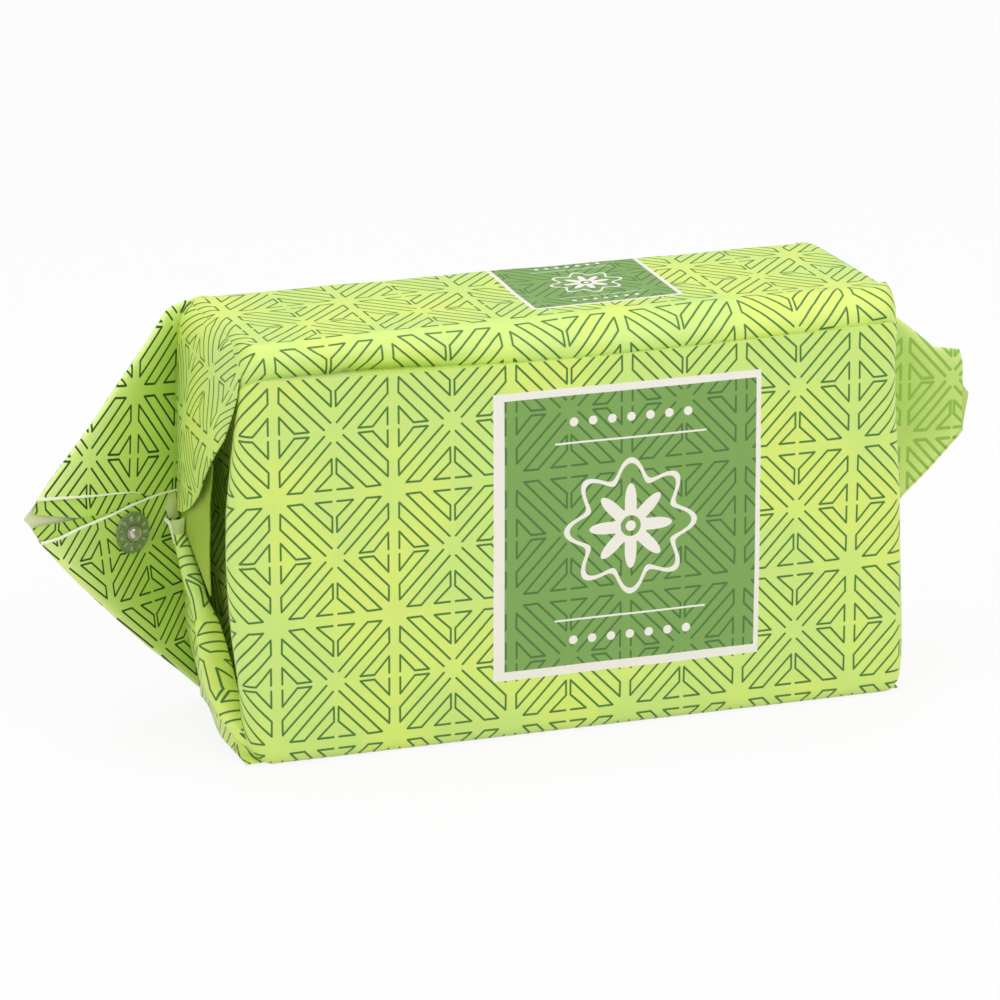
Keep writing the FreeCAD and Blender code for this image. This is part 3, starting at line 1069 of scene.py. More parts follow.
@dataclass
class TopFlap:
    """The top's flap: it rolls over the end's shoulder and hangs down to a point."""

    side: Side
    wrapper: Wrapper
    register: Register
    # Free fold at the front and crease at the wing, from the shoulder down: X, Y, Z.
    front: Path = (
        (55.4, -16.94, 63.33), (56.4, -15.2, 57.53), (57.4, -13.47, 52.66),
        (58.0, -9.0, 48.1), (58.0, -5.4, 45.0), (57.4, 1.0, 39.4),
        (57.2, 5.8, 36.2), (57.4, 10.5, 34.0))
    back: Path = (
        (55.6, 17.0, 65.5), (56.0, 17.0, 60.3), (56.2, 16.6, 54.0),
        (56.4, 16.2, 48.0), (56.5, 15.9, 43.0), (56.7, 15.5, 38.5),
        (56.9, 15.0, 36.0), (57.4, 13.0, 33.6))
    start: float = 50.5
    bulge: float = 0.9
    proud: float = 1.0
    set_back: float = 0.0
    columns: int = 40
    shoulder_rows: int = 12
    rows: int = 36

    def place(self, column: int, row: int) -> Vector:
        """Folded place of a grid point, for an end at positive X.

        Args:
            column: the grid point's column.
            row: the grid point's row.

        Returns:
            The place, in millimetres.
        """
        share = column / self.columns
        if row >= self.shoulder_rows:
            down = 0.08 + 0.92 * (row - self.shoulder_rows) / self.rows
            return self.hanging(share, down)
        foot = self.hanging(share, 0.08)
        y = foot.y
        ridge = self.wrapper.brick.front_ridge
        short = max(self.wrapper.brick.front + ridge - y, 0.0)
        high = self.wrapper.brick.height - (ridge - math.sqrt(max(ridge ** 2 - short ** 2, 0)))
        start = Vector((self.start, y, high - 0.22))
        knee = Vector((foot.x - 0.3, y, high + 0.12))
        turn = row / self.shoulder_rows
        point = start * (1 - turn) ** 2 + knee * 2 * turn * (1 - turn) + foot * turn ** 2
        mirrored = Vector((self.side * point.x, point.y, point.z))
        return point + self.wrapper.ripple(mirrored) * (1 - turn)

    def hanging(self, share: float, down: float) -> Vector:
        """A place on the hanging part.

        Args:
            share: how far across or out, from 0 to 1.
            down: how far down, from 0 to 1.

        Returns:
            The place, in millimetres.
        """
        point = along_path(down, self.front).lerp(along_path(down, self.back), share)
        lift = math.sin(math.pi * share) * math.sin(math.pi * min(down + 0.1, 1))
        point.x = 55.0 + (point.x - 55.0) * self.proud
        point.y += self.set_back * (1 - share)
        point.x += self.bulge * lift + FLAP_SWELLS.at(point, self.side)
        return point

    def build(self) -> Object:
        """Fold the flap.

        Returns:
            The flap.
        """
        total = self.shoulder_rows + self.rows
        length = [0.0]
        for row in range(total):
            middle = self.columns // 2
            length.append(length[-1] + (self.place(middle, row + 1)
                                        - self.place(middle, row)).length)

        def place(column: int, row: int) -> Vector:
            """Folded place on the wanted end."""
            point = self.place(column, row)
            return Vector((self.side * point.x, point.y, point.z))

        def flat(column: int, row: int, *_: int) -> tuple[float, float]:
            """The print runs on from the top and eases into the flap's own register.

            Args:
                column: the grid point's column.
                row: the grid point's row.
                _: the face, unused.

            Returns:
                Place across and up the flat sheet.
            """
            point = self.place(column, row)
            down = self.start + length[row]
            high = self.wrapper.over_top(self.side * down, point.y)
            low = self.register(point.y, point.z)
            low = (low[0] if self.side == Side.LEFT else -low[0] - 8.0, low[1])
            share = smooth((length[row] - 5.0) / 14.0)
            return tuple(a + (b - a) * share for a, b in zip(high, low))

        flap = fold_sheet(f"{self.side.name.lower()}_top_flap", self.columns, total, place, flat)
        merge(flap)
        face_along(flap, (self.side, 0, 0.4))
        thicken(flap, FLAP)
        return flap


@dataclass
class RolledFlap:
    """The bottom's flap: it stands up against the end, and its free fold is a soft roll."""

    side: Side
    brick: Brick
    # Along the slanting fold: height, X of the roll's middle, and half its depth in X.
    roll: Path = (
        (0.8, 51.4, 0.1), (1.8, 52.7, 0.5), (3.5, 54.6, 1.3), (7.0, 55.8, 2.3),
        (10.0, 56.5, 2.7), (15.0, 56.4, 2.5), (18.0, 56.4, 2.1), (21.5, 56.8, 1.45),
        (25.0, 57.1, 1.5), (29.5, 57.3, 1.2), (31.5, 57.4, 1.0))
    width: float = 1.35
    start_turn: float = 150.0
    end_turn: float = -80.0
    columns: int = 60
    roll_rows: int = 20
    flat_rows: int = 14
    back_edge: float = 16.8
    proud: float = 1.0

    def centre(self, share: float) -> tuple[float, float, float, float]:
        """Height, X, half depth and half width at a share of the fold.

        Args:
            share: how far across or out, from 0 to 1.

        Returns:
            The four measures, in millimetres.
        """
        high = self.roll[0][0] + share * (self.roll[-1][0] - self.roll[0][0])
        x = 54.2 + (along_line(high, [(z, x) for z, x, _ in self.roll]) - 54.2) * self.proud
        deep = along_line(high, [(z, d) for z, _, d in self.roll]) * self.proud
        return high, x, deep, self.width * min(1, deep / 1.6)

    def place(self, column: int, row: int) -> Vector:
        """Folded place of a grid point, for an end at positive X.

        Args:
            column: the grid point's column.
            row: the grid point's row.

        Returns:
            The place, in millimetres.
        """
        high, x, deep, wide = self.centre(column / self.columns)
        y = high + self.brick.front + 0.1
        ahead = Vector((0, -math.sqrt(0.5), math.sqrt(0.5)))
        base = Vector((x, y, high))
        if row <= self.roll_rows:
            turn = math.radians(self.start_turn + (self.end_turn - self.start_turn)
                                * row / self.roll_rows)
            point = base + Vector((deep * math.cos(turn), 0, 0)) + ahead * (wide * math.sin(turn))
            point.x += ROLL_SWELLS.at(point, self.side)
            return point
        last = self.place(column, self.roll_rows)
        room = min((last.z - 0.6) / math.sqrt(0.5), (self.back_edge - last.y) / math.sqrt(0.5))
        share = (row - self.roll_rows) / self.flat_rows
        point = last - ahead * max(room, 0.0) * share
        target = 55.6 - 2.7 * smooth((point.y + 6) / 22) * smooth((15 - point.z) / 15)
        point.x += (target - last.x) * smooth(share)
        return point

    def build(self) -> Object:
        """Fold the flap.

        Returns:
            The flap.
        """
        total = self.roll_rows + self.flat_rows

        def place(column: int, row: int) -> Vector:
            """Folded place on the wanted end."""
            point = self.place(column, row)
            return Vector((self.side * point.x, point.y, max(point.z, 0.0)))

        def flat(column: int, row: int, *_: int) -> tuple[float, float]:
            """The print runs on from the bottom.

            Args:
                column: the grid point's column.
                row: the grid point's row.
                _: the face, unused.

            Returns:
                Place across and up the flat sheet.
            """
            high, _, deep, wide = self.centre(column / self.columns)
            run = (self.start_turn - self.end_turn) / 360 * math.tau * (deep + wide) / 2
            crest = self.start_turn / (self.start_turn - self.end_turn)
            if row <= self.roll_rows:
                ahead = run * (crest - row / self.roll_rows)
            else:
                edge = self.place(column, self.roll_rows)
                ahead = run * (crest - 1) - (self.place(column, row) - edge).length
            part = math.sqrt(0.5) * ahead
            return self.side * (self.brick.half + high + part), part - high

        flap = fold_sheet(f"{self.side.name.lower()}_rolled_flap", self.columns, total, place, flat)
        face_along(flap, (self.side, -0.2, 0.1))
        thicken(flap, FLAP)
        return flap


@dataclass
class Tuck:
    """A small sheet between two lines of points, such as a tucked panel or a torn end."""

    name: str
    first: Path
    second: Path
    outward: tuple[float, float, float]
    cut_rows: int = 0
    wave: float = 0.25
    rows: int = 10
    columns: int = 16

    def place(self, column: int, row: int) -> Vector:
        """Place of a grid point.

        Args:
            column: the grid point's column.
            row: the grid point's row.

        Returns:
            The place, in millimetres.
        """
        share = column / self.columns
        first, second = along_path(share, self.first), along_path(share, self.second)
        point = first.lerp(second, row / self.rows)
        away = Vector(self.outward).normalized()
        bulge = math.sin(math.pi * row / self.rows) * math.sin(math.pi * share)
        return point + away * self.wave * (bulge + TUCK_SWELLS.at(point))

    def build(self) -> Object:
        """Make the sheet.

        Returns:
            The sheet.
        """
        sheet = fold_sheet(self.name, self.columns, self.rows, self.place,
                           lambda c, r, *_: (self.place(c, r).x - self.place(c, r).y * 0.7,
                                             self.place(c, r).z))
        for polygon in sheet.data.polygons:
            rows = self.rows - self.cut_rows
            row = polygon.index // self.columns
            polygon.material_index = Face.CUT if row >= rows else Face.INSIDE
        merge(sheet)
        face_along(sheet, self.outward)
        apply_modifier(sheet, "SOLIDIFY", thickness=TUCK * MM, offset=-1.0)
        return sheet


@dataclass
class Band:
    """The bent surface that a wing lies on: an upright cylinder beside the block."""

    side: Side
    axis: tuple[float, float]
    radius: float

    def point(self, out: float, high: float, deep: float = 0.0) -> Vector:
        """Place of a point.

        Args:
            out: distance along the bend, growing outwards.
            high: height.
            deep: distance behind the band's front face.

        Returns:
            The place, in millimetres.
        """
        lean = self.side * out / self.radius
        radius = self.radius - deep
        return Vector((self.axis[0] + radius * math.sin(lean),
                       self.axis[1] - radius * math.cos(lean), high))

    def rippled(self, out: float, high: float, deep: float, level: float) -> Vector:
        """Place of a point on paper that ripples as the wing does at a level."""
        ripple = WING_SWELLS.at(Vector((out, 0, level)), self.side)
        return self.point(out, high, deep + ripple)


@dataclass
class Wing:
    """A wing: the flattened end of the tube, its cut edges folded to the front.

    Outlines are (distance along the bend, height) points in rising order of distance.
    """

    band: Band
    wrapper: Wrapper
    upper: Register
    lower: Register
    top: Line
    bottom: Line
    cut_upper: Line
    cut_lower: Line
    tip: Line
    root: float
    tip_front: float
    # Depths behind the band's front face: the fold's middle, the rear and the two fronts.
    middle: float = 0.7
    rear: float = 0.55
    upper_front: float = 0.42
    lower_front: float = 0.66
    fold: float = 0.9
    # Painted backlight: the paper is painted lighter near the outline, and towards the tip from 24
    # mm out, where light comes through.
    glow_edge: float = 2.2
    glow_tip: float = 0.45
    glow_from: float = 24.0
    columns: int = 54
    front_rows: int = 20
    rear_rows: int = 20
    thickness: float = 0.22

    @staticmethod
    def shares(count: int) -> list[float]:
        """Steps from 0 to 1 that close up towards both ends."""
        return [(1 - math.cos(math.pi * i / count)) / 2 for i in range(count + 1)]

    def bowed(self, near: float) -> float:
        """How far a fold has opened, from 0 at its crease to 1, at a distance from it."""
        return math.sqrt(1 - (1 - min(near / self.fold, 1)) ** 2)

    def build(self) -> Object:
        """Fold the wing's sleeve.

        Returns:
            The sleeve.
        """
        rows = [("upper", s) for s in self.shares(self.front_rows)]
        rows += [("rear", s) for s in self.shares(self.rear_rows)[1:]]
        rows += [("lower", s) for s in self.shares(self.front_rows)[1:]]

        def where(column: int, row: int) -> tuple[float, float, float]:
            """Distance along, height and depth of a grid point.

            Args:
                column: the grid point's column.
                row: the grid point's row.

            Returns:
                The three measures, in millimetres.
            """
            zone, share = rows[row]
            along = column / self.columns
            tip = along_line(share, self.tip) if zone == "rear" else self.tip_front
            out = self.root + along * (tip - self.root)
            high, low = along_line(out, self.top), along_line(out, self.bottom)
            if zone == "rear":
                z = high + (low - high) * share
                near = min(share, 1 - share) * max(high - low, 0.01)
                deep = self.middle + self.rear * self.bowed(near)
            elif zone == "upper":
                cut = min(along_line(out, self.cut_upper), high)
                z = cut + (high - cut) * share
                deep = self.middle - self.upper_front * self.bowed((1 - share) * (high - cut))
            else:
                cut = max(along_line(out, self.cut_lower), low)
                z = low + (cut - low) * share
                deep = self.middle - self.lower_front * self.bowed(share * (cut - low))
            return out, z, deep

        def place(column: int, row: int) -> Vector:
            """Folded place of a grid point."""
            out, high, deep = where(column, row)
            return self.band.rippled(out, high, deep, high)

        def flat(column: int, row: int, _: int, face_row: int) -> tuple[float, float]:
            """The print of each fold.

            Args:
                column: the grid point's column.
                row: the grid point's row.
                _: the column of the face, unused.
                face_row: the row of the face.

            Returns:
                Place across and up the flat sheet.
            """
            out, high, _ = where(column, row)
            zone = rows[face_row + 1][0]
            if zone == "upper":
                return self.upper(out, high)
            if zone == "lower":
                return self.lower(out, high)
            reach = self.wrapper.brick.half + out - self.root - 3.0
            return self.band.side * reach, self.wrapper.behind(high)

        name = f"{self.band.side.name.lower()}_wing"
        sleeve = fold_sheet(name, self.columns, len(rows) - 1, place, flat)
        # Painted backlight: each point's share of the lighter tone, highest near the outline and
        # towards the tip.
        shares = []
        for vertex in sleeve.data.vertices:
            lean = math.asin((vertex.co.x / MM - self.band.axis[0]) / self.band.radius)
            out, high = self.band.side * lean * self.band.radius, vertex.co.z / MM
            near = min(along_line(out, self.top) - high, high - along_line(out, self.bottom))
            share = math.exp(-max(near, 0.0) / self.glow_edge)
            share += self.glow_tip * smooth((out + self.glow_from) / self.glow_from)
            shares.append(min(share + PAINTED_BACKLIGHT_PATCHES.at(vertex.co / MM), 1.0))
        backlight_or_whitened = sleeve.data.attributes.new(PAINTED_BACKLIGHT_OR_PRESSED, "FLOAT", "POINT")
        backlight_or_whitened.data.foreach_set("value", shares)
        face_along(sleeve, (0, 0, 1))
        self.face_out(sleeve)
        thicken(sleeve, self.thickness, Face.CUT if self.band.side == Side.LEFT else Face.PRINTED)
        return sleeve

    def face_out(self, sleeve: Object) -> None:
        """Turn the sleeve so that its rear looks backwards.

        Args:
            sleeve: the folded wing.
        """
        rear = [p for p in sleeve.data.polygons if self.depth(p.center) > 1.0]
        total = sum((p.normal * p.area for p in rear), Vector())
        if total.y < 0:
            edit(sleeve, bpy.ops.mesh.flip_normals)

    def depth(self, centre: Vector) -> float:
        """How far behind the band's front face a place is."""
        away = Vector((centre.x / MM - self.band.axis[0], centre.y / MM - self.band.axis[1]))
        return self.band.radius - away.length

    def leaf(self, name: str, low: Line, high: Line, deep: float, mirror: float,
             register: Register, tips: tuple[float, float]) -> Object:
        """Fold an inner leaf that shows between the cut edges.

        Args:
            name: the piece's name.
            low: its lower outline.
            high: its upper outline.
            deep: how far behind the band's front face it lies.
            mirror: the height about which its print mirrors the fold in front of it.
            register: that fold's print.
            tips: where its lower and its upper outline end.

        Returns:
            The leaf.
        """
        columns, count = 40, 8

        def where(column: int, row: int) -> tuple[float, float]:
            """Distance along and height of a grid point.

            Args:
                column: the grid point's column.
                row: the grid point's row.

            Returns:
                The two measures, in millimetres.
            """
            tip = tips[0] + (tips[1] - tips[0]) * row / count
            out = self.root + 2 + (tip - self.root - 2) * column / columns
            bottom, top = along_line(out, low), along_line(out, high)
            return out, bottom + (top - bottom) * row / count

        def place(column: int, row: int) -> Vector:
            """Folded place of a grid point."""
            out, z = where(column, row)
            return self.band.rippled(out, z, deep, z)

        def flat(column: int, row: int, *_: int) -> tuple[float, float]:
            """The print, mirrored at the fold."""
            out, z = where(column, row)
            return register(out, 2 * mirror - z)

        sheet = fold_sheet(name, columns, count, place, flat)
        face_along(sheet, (0, -1, 0))
        thicken(sheet, LEAF)
        return sheet

    def edge_strip(self, name: str, line: Line, deep: float,
                   end: float, widths: tuple[float, float], above: bool) -> Object:
        """Lay the pale cut edge of a fold, widest at the wing's tip.

        Args:
            name: the piece's name.
            line: the cut edge's outline.
            deep: how far behind the band's front face it lies.
            end: where it fades out, towards the block.
            widths: its width at the fading end and at the tip.
            above: whether it lies above the outline.

        Returns:
            The strip.
        """
        columns, count = 60, 4

        def place(column: int, row: int) -> Vector:
            """Place of a grid point, with a slightly torn outline.

            Args:
                column: the grid point's column.
                row: the grid point's row.

            Returns:
                The place, in millimetres.
            """
            share = column / columns
            out = end + (self.tip_front + (0.2 if above else -0.3) - end) * share
            width = widths[0] + (widths[1] - widths[0]) * share
            torn = TORN_EDGE.at(Vector((out, row, 0)))
            rise = width * (row / count) * (1 if above else -1) + torn * (row / count)
            rounded = 0.12 * math.sin(math.pi * row / count)
            level = along_line(out, line)
            return self.band.rippled(out, level + rise, deep - rounded, level)

        strip = fold_sheet(name, columns, count, place, lambda c, r, *_: (c * 0.4, r * 0.2))
        for polygon in strip.data.polygons:
            polygon.material_index = Face.CUT
        face_along(strip, (0, -1, 0))
        apply_modifier(strip, "SOLIDIFY", thickness=STRIP * MM, offset=-1.0)
        return strip


@dataclass
class Seal:
    """The pressed plastic seal and its stud, on the front of the left wing."""

    band: Band
    centre_out: float = -17.4
    centre_high: float = 31.0
    half_wide: float = 3.05
    half_tall: float = 3.5
    lift: float = 0.42
    columns: int = 96

    def local(self, across: float, high: float, lift: float) -> Vector:
        """Place of a point given from the seal's centre.

        Args:
            across: flat place across the sheet, in millimetres.
            high: height of the corner's centre.
            lift: distance ahead of the band.

        Returns:
            The place.
        """
        middle = self.band.point(self.centre_out, self.centre_high)
        lean = self.band.side * self.centre_out / self.band.radius
        sideways = Vector((math.cos(lean), math.sin(lean), 0))
        outward = Vector((math.sin(lean), -math.cos(lean), 0))
        return middle + sideways * across + Vector((0, 0, high)) + outward * lift

    def disc(self) -> Object:
        """Make the disc: a raised rim, embossed rays and a bruised lower edge.

        Returns:
            The disc.
        """
        rings = spread(0, 1, 28)

        def pressed(angle: float, share: float) -> float:
            """How far the plastic is embossed, and so whitened, at a place.

            Args:
                angle: turn round the centre, in radians.
                share: how far across or out, from 0 to 1.

            Returns:
                A share from 0 to 1.
            """
            ray = smooth((math.cos(angle * 11 + 0.8 * math.sin(angle * 2)) - 0.45) / 0.35)
            inner = smooth((share - 0.55) / 0.06) * smooth((0.86 - share) / 0.06)
            patch = 0.5 + DISC_PATCHES.at(Vector((math.cos(angle), math.sin(angle), share)))
            return ray * inner * patch

        def place(column: int, row: int) -> Vector:
            """Place of a point of the disc's front.

            Args:
                column: the grid point's column.
                row: the grid point's row.

            Returns:
                The place, in millimetres.
            """
            angle = math.tau * column / self.columns
            share = rings[row]
            rough = 1 + DISC_OUTLINE.at(Vector((math.cos(angle), math.sin(angle), 0)) * 3)
            if math.sin(angle) < -0.3:
                rough += 0.03 * math.sin(angle * 31) * smooth((-math.sin(angle) - 0.3) / 0.5)
            across = self.half_wide * share * rough * math.cos(angle)
            high = self.half_tall * share * rough * math.sin(angle)
            rim = math.exp(-((share - 0.93) / 0.04) ** 2)
            well = math.exp(-((share - 0.46) / 0.05) ** 2)
            lift = self.lift + 0.3 * pressed(angle, share) + 0.12 * rim + 0.12 * well
            lift -= 0.3 * smooth((share - 0.93) / 0.07)
            return self.local(across, high, lift)

        disc = fold_sheet("seal_disc_pressed", self.columns, len(rings) - 1, place,
                          lambda c, r, *_: (c * 0.1, r * 0.1))
        centre, sideways = self.local(0, 0, 0), self.local(1, 0, 0) - self.local(0, 0, 0)
        marks = []
        for vertex in disc.data.vertices:
            away = vertex.co / MM - centre
            across, high = away.dot(sideways) / self.half_wide, away.z / self.half_tall
            marks.append(pressed(math.atan2(high, across), math.hypot(across, high)))
        disc.data.attributes.new(PAINTED_BACKLIGHT_OR_PRESSED, "FLOAT", "POINT").data.foreach_set("value", marks)
        merge(disc)
        face_along(disc, (0, -1, 0))
        apply_modifier(disc, "SOLIDIFY", thickness=DISC * MM, offset=-1.0)
        return disc

    def stud(self) -> Object:
        """Turn the stud: a domed head inside a flat ring, and a shank behind.

        Returns:
            The stud.
        """
        profile = ((0.0, 1.16), (0.35, 1.13), (0.62, 1.02), (0.82, 0.84), (0.90, 0.68),
                   (1.00, 0.68), (1.12, 0.80), (1.24, 0.78), (1.32, 0.62), (1.30, 0.46),
                   (0.60, 0.44), (0.55, 0.30), (0.55, -1.0), (0.0, -1.0))
        columns = 40

        def place(column: int, row: int) -> Vector:
            """Place of a point of the turned profile.

            Args:
                column: the grid point's column.
                row: the grid point's row.

            Returns:
                The place, in millimetres.
            """
            angle = math.tau * column / columns
            radius, lift = profile[row]
            return self.local(radius * math.cos(angle), radius * math.sin(angle), lift)

        stud = fold_sheet("seal_stud_pressed", columns, len(profile) - 1, place,
                          lambda c, r, *_: (c * 0.1, r * 0.1))
        merge(stud)
        edit(stud, lambda: bpy.ops.mesh.normals_make_consistent(inside=False))
        return stud


def left_wing(wrapper: Wrapper, lattice: Lattice) -> tuple[Wing, list[Object]]:
    """Make the left wing with its inner leaves and cut edges.

    Args:
        wrapper: the tube that it ends.
        lattice: the print.

    Returns:
        The wing and its pieces.
    """
    band = Band(Side.LEFT, (-82.35, 80.54), 70.7)
    upper = Register(lattice, ((-19.2, 53.7, 0, 0), (-10.0, 44.5, -0.5, -0.5),
                               (-26.0, 42.8, 0.5, -0.5), (-26.9, 64.15, 0.5, 0.5)))
    lower = Register(lattice, ((-13.39, 18.76, 0, 0), (-28.17, 20.24, 1, 0),
                               (-20.16, 28.62, 0.5, 0.5), (-22.26, 10.83, 0.5, -0.5)))
    wing = Wing(
        band, wrapper, upper, lower,
        top=((-33.0, 67.0), (-28.6, 67.2), (-25.3, 66.6), (-21.4, 62.1), (-15.7, 55.7),
             (-10.3, 49.1), (-5.1, 43.2), (-1.3, 38.3), (0.9, 36.4)),
        bottom=((-33.0, 0.3), (-30.1, 2.3), (-26.0, 6.1), (-20.2, 11.1), (-14.8, 16.5),
                (-8.0, 23.7), (-4.7, 27.5), (-1.5, 31.5), (0.9, 34.5)),
        cut_upper=((-33.0, 35.0), (-24.0, 35.4), (-18.0, 37.5), (-14.4, 37.7), (-10.0, 37.9),
                   (-5.0, 38.2), (-1.35, 38.3)),
        cut_lower=((-33.0, 36.4), (-26.7, 36.6), (-23.7, 36.6), (-20.8, 36.3), (-17.1, 35.6),
                   (-14.4, 34.8), (-11.7, 34.2), (-8.2, 33.3), (-4.8, 32.1), (-1.5, 31.5)),
        tip=((0, -1.3), (0.3, 0.4), (0.6, 0.9), (1, -1.5)), root=-33.0, tip_front=-1.4)
    pieces = [wing.build()]
    pieces.append(wing.leaf("left_wing_upper_leaf", ((-33, 33.6), (-8.4, 34.6), (-0.2, 36.3)),
                            ((-33, 39.5), (-5, 39.5), (-1.2, 38.2), (-0.2, 36.9)), 0.55, 38.0,
                            upper, (-0.45, -1.35)))
    pieces.append(wing.leaf("left_wing_lower_leaf",
                            ((-33, 30.0), (-5, 30.8), (-1.4, 31.9), (0.0, 33.6)),
                            ((-33, 35.4), (-8.4, 34.6), (0.0, 33.9)), 0.40, 33.0, lower,
                            (-1.35, -0.3)))
    pieces.append(wing.edge_strip("left_wing_upper_cut_edge", wing.cut_upper, 0.22, -19.0,
                                  (0.18, 0.62), True))
    pieces.append(wing.edge_strip("left_wing_lower_cut_edge", wing.cut_lower, 0.02, -27.0,
                                  (0.30, 0.48), False))
    return wing, pieces


def right_wing(wrapper: Wrapper, lattice: Lattice) -> Object:
    """Make the right wing, with its crumpled outline.

    Args:
        wrapper: the tube that it ends.
        lattice: the print.

    Returns:
        The wing.
    """
    band = Band(Side.RIGHT, (80.40, 117.98), 105.7)
    register = Register(lattice, ((-11.5, 33.6, 0, 0), (-3.0, 42.9, 0.5, 0.5),
                                  (-20.0, 42.9, -0.5, 0.5), (-3.0, 24.0, 0.5, -0.5)))
    wing = Wing(
        band, wrapper, register, register,
        top=((-30.0, 66.6), (-26.7, 66.0), (-13.2, 54.2), (-10.9, 52.4), (-6.4, 48.5),
             (-1.6, 47.7), (-0.95, 44.6), (0.9, 41.2)),
        bottom=((-30.0, 0.3), (-26.7, 3.0), (-11.1, 23.3), (-6.8, 27.3), (-0.7, 33.6), (0.9, 38.8)),
        cut_upper=((-30.0, 0.9), (-26.7, 3.5), (-11.1, 23.8), (-6.8, 27.8), (-0.7, 34.1),
                   (0.9, 39.2)),
        cut_lower=((-30.0, 1.1), (-26.7, 3.7), (-11.1, 24.0), (-6.8, 28.0), (-0.7, 34.4),
                   (0.9, 39.4)),
        tip=((0, -1.4), (0.25, -0.9), (0.4, 0.3), (0.6, 0.2), (1, -0.7)), root=-30.0,
        tip_front=-1.2)
    return wing.build()


# ---------------------------------------------------------------- staging


@dataclass(frozen=True)
class View:
    """The camera: where it stands, where it looks, and how long its lens is."""

    place: tuple[float, float, float] = (-0.28912, -0.79526, 0.29256)
    turn: float = -19.515
    dip: float = 17.041
    lens: float = 198.0

    def build(self) -> None:
        """Add the camera."""
        data = bpy.data.cameras.new("camera")
        data.lens = self.lens
        data.sensor_width = 36.0
        data.clip_end = 20.0
        camera = bpy.data.objects.new("camera", data)
        camera.location = self.place
        camera.rotation_euler = (math.radians(90 - self.dip), 0, math.radians(self.turn))
        bpy.context.scene.collection.objects.link(camera)
        bpy.context.scene.camera = camera


@dataclass(frozen=True)
class Studio:
    """A white sweep with large soft lamps."""

    floor_tone: str = "e9e9e9"
    floor_glow: float = 0.88
    world: float = 0.5
    # Each lamp: its name, place in metres, size in metres and power in watts.
    lamps: tuple[tuple[str, tuple[float, float, float], float, float], ...] = (
        ("key_lamp", (0.45, -0.75, 0.85), 0.9, 5.4),
        ("fill_lamp", (-1.0, -0.35, 0.6), 0.9, 3.7),
        ("top_lamp", (0.0, 0.15, 1.1), 0.8, 4.6),
    )

    def build(self) -> None:
        """Add the floor, the world and the lamps."""
        bpy.ops.object.select_all(action="DESELECT")
        bpy.ops.mesh.primitive_plane_add(size=6)
        floor = bpy.context.object
        floor.name = "floor"
        floor.data.materials.append(self.floor())
        self.surround()
        for lamp in self.lamps:
            self.lamp(*lamp)
        bpy.context.scene.view_settings.view_transform = "Standard"

    def floor(self) -> Material:
        """White to the camera, plain to the lamps, with the object's shadow kept.

        Returns:
            The material.
        """
        material = bpy.data.materials.new("floor_white")
        material.use_nodes = True
        tree = material.node_tree
        node = partial(add_node, tree)
        shader = tree.nodes["Principled BSDF"]
        shader.inputs["Base Color"].default_value = linear(self.floor_tone)
        shader.inputs["Roughness"].default_value = 0.9
        camera = node("LightPath", out="Is Camera Ray")
        seen = node("Math", (camera, camera.node.outputs["Is Glossy Ray"]), operation="MAXIMUM")
        share = node("Math", (seen, self.floor_glow), operation="MULTIPLY")
        glow = node("Emission", ((1.0, 1.0, 1.0, 1.0), 1.0))
        mixed = node("MixShader", (share, shader.outputs[0], glow))
        tree.links.new(mixed, tree.nodes["Material Output"].inputs[0])
        return material

    def surround(self) -> None:
        """A plain white world: white to the camera, dimmer as a light."""
        world = bpy.data.worlds.new("surround")
        world.use_nodes = True
        tree = world.node_tree
        node = partial(add_node, tree)
        camera = node("LightPath", out="Is Camera Ray")
        seen = node("Math", (camera, camera.node.outputs["Is Transmission Ray"]),
                    operation="MAXIMUM")
        strength = node("Math", (seen, 1.0 - self.world, self.world), operation="MULTIPLY_ADD")
        backdrop = tree.nodes["Background"]
        backdrop.inputs[0].default_value = (1.0, 1.0, 1.0, 1.0)
        tree.links.new(strength, backdrop.inputs[1])
        bpy.context.scene.world = world

    @staticmethod
    def lamp(name: str, place: tuple[float, float, float], size: float, power: float) -> None:
        """Add a square lamp that faces the block.

        Args:
            name: the lamp's name.
            place: where it hangs, in metres.
            size: its side, in metres.
            power: its power, in watts.
        """
        data = bpy.data.lights.new(name, "AREA")
        data.size = size
        data.energy = power
        lamp = bpy.data.objects.new(name, data)
        lamp.location = place
        aim = Vector((0, 0, 0.03)) - Vector(place)
        lamp.rotation_euler = aim.to_track_quat("-Z", "Y").to_euler()
        bpy.context.scene.collection.objects.link(lamp)


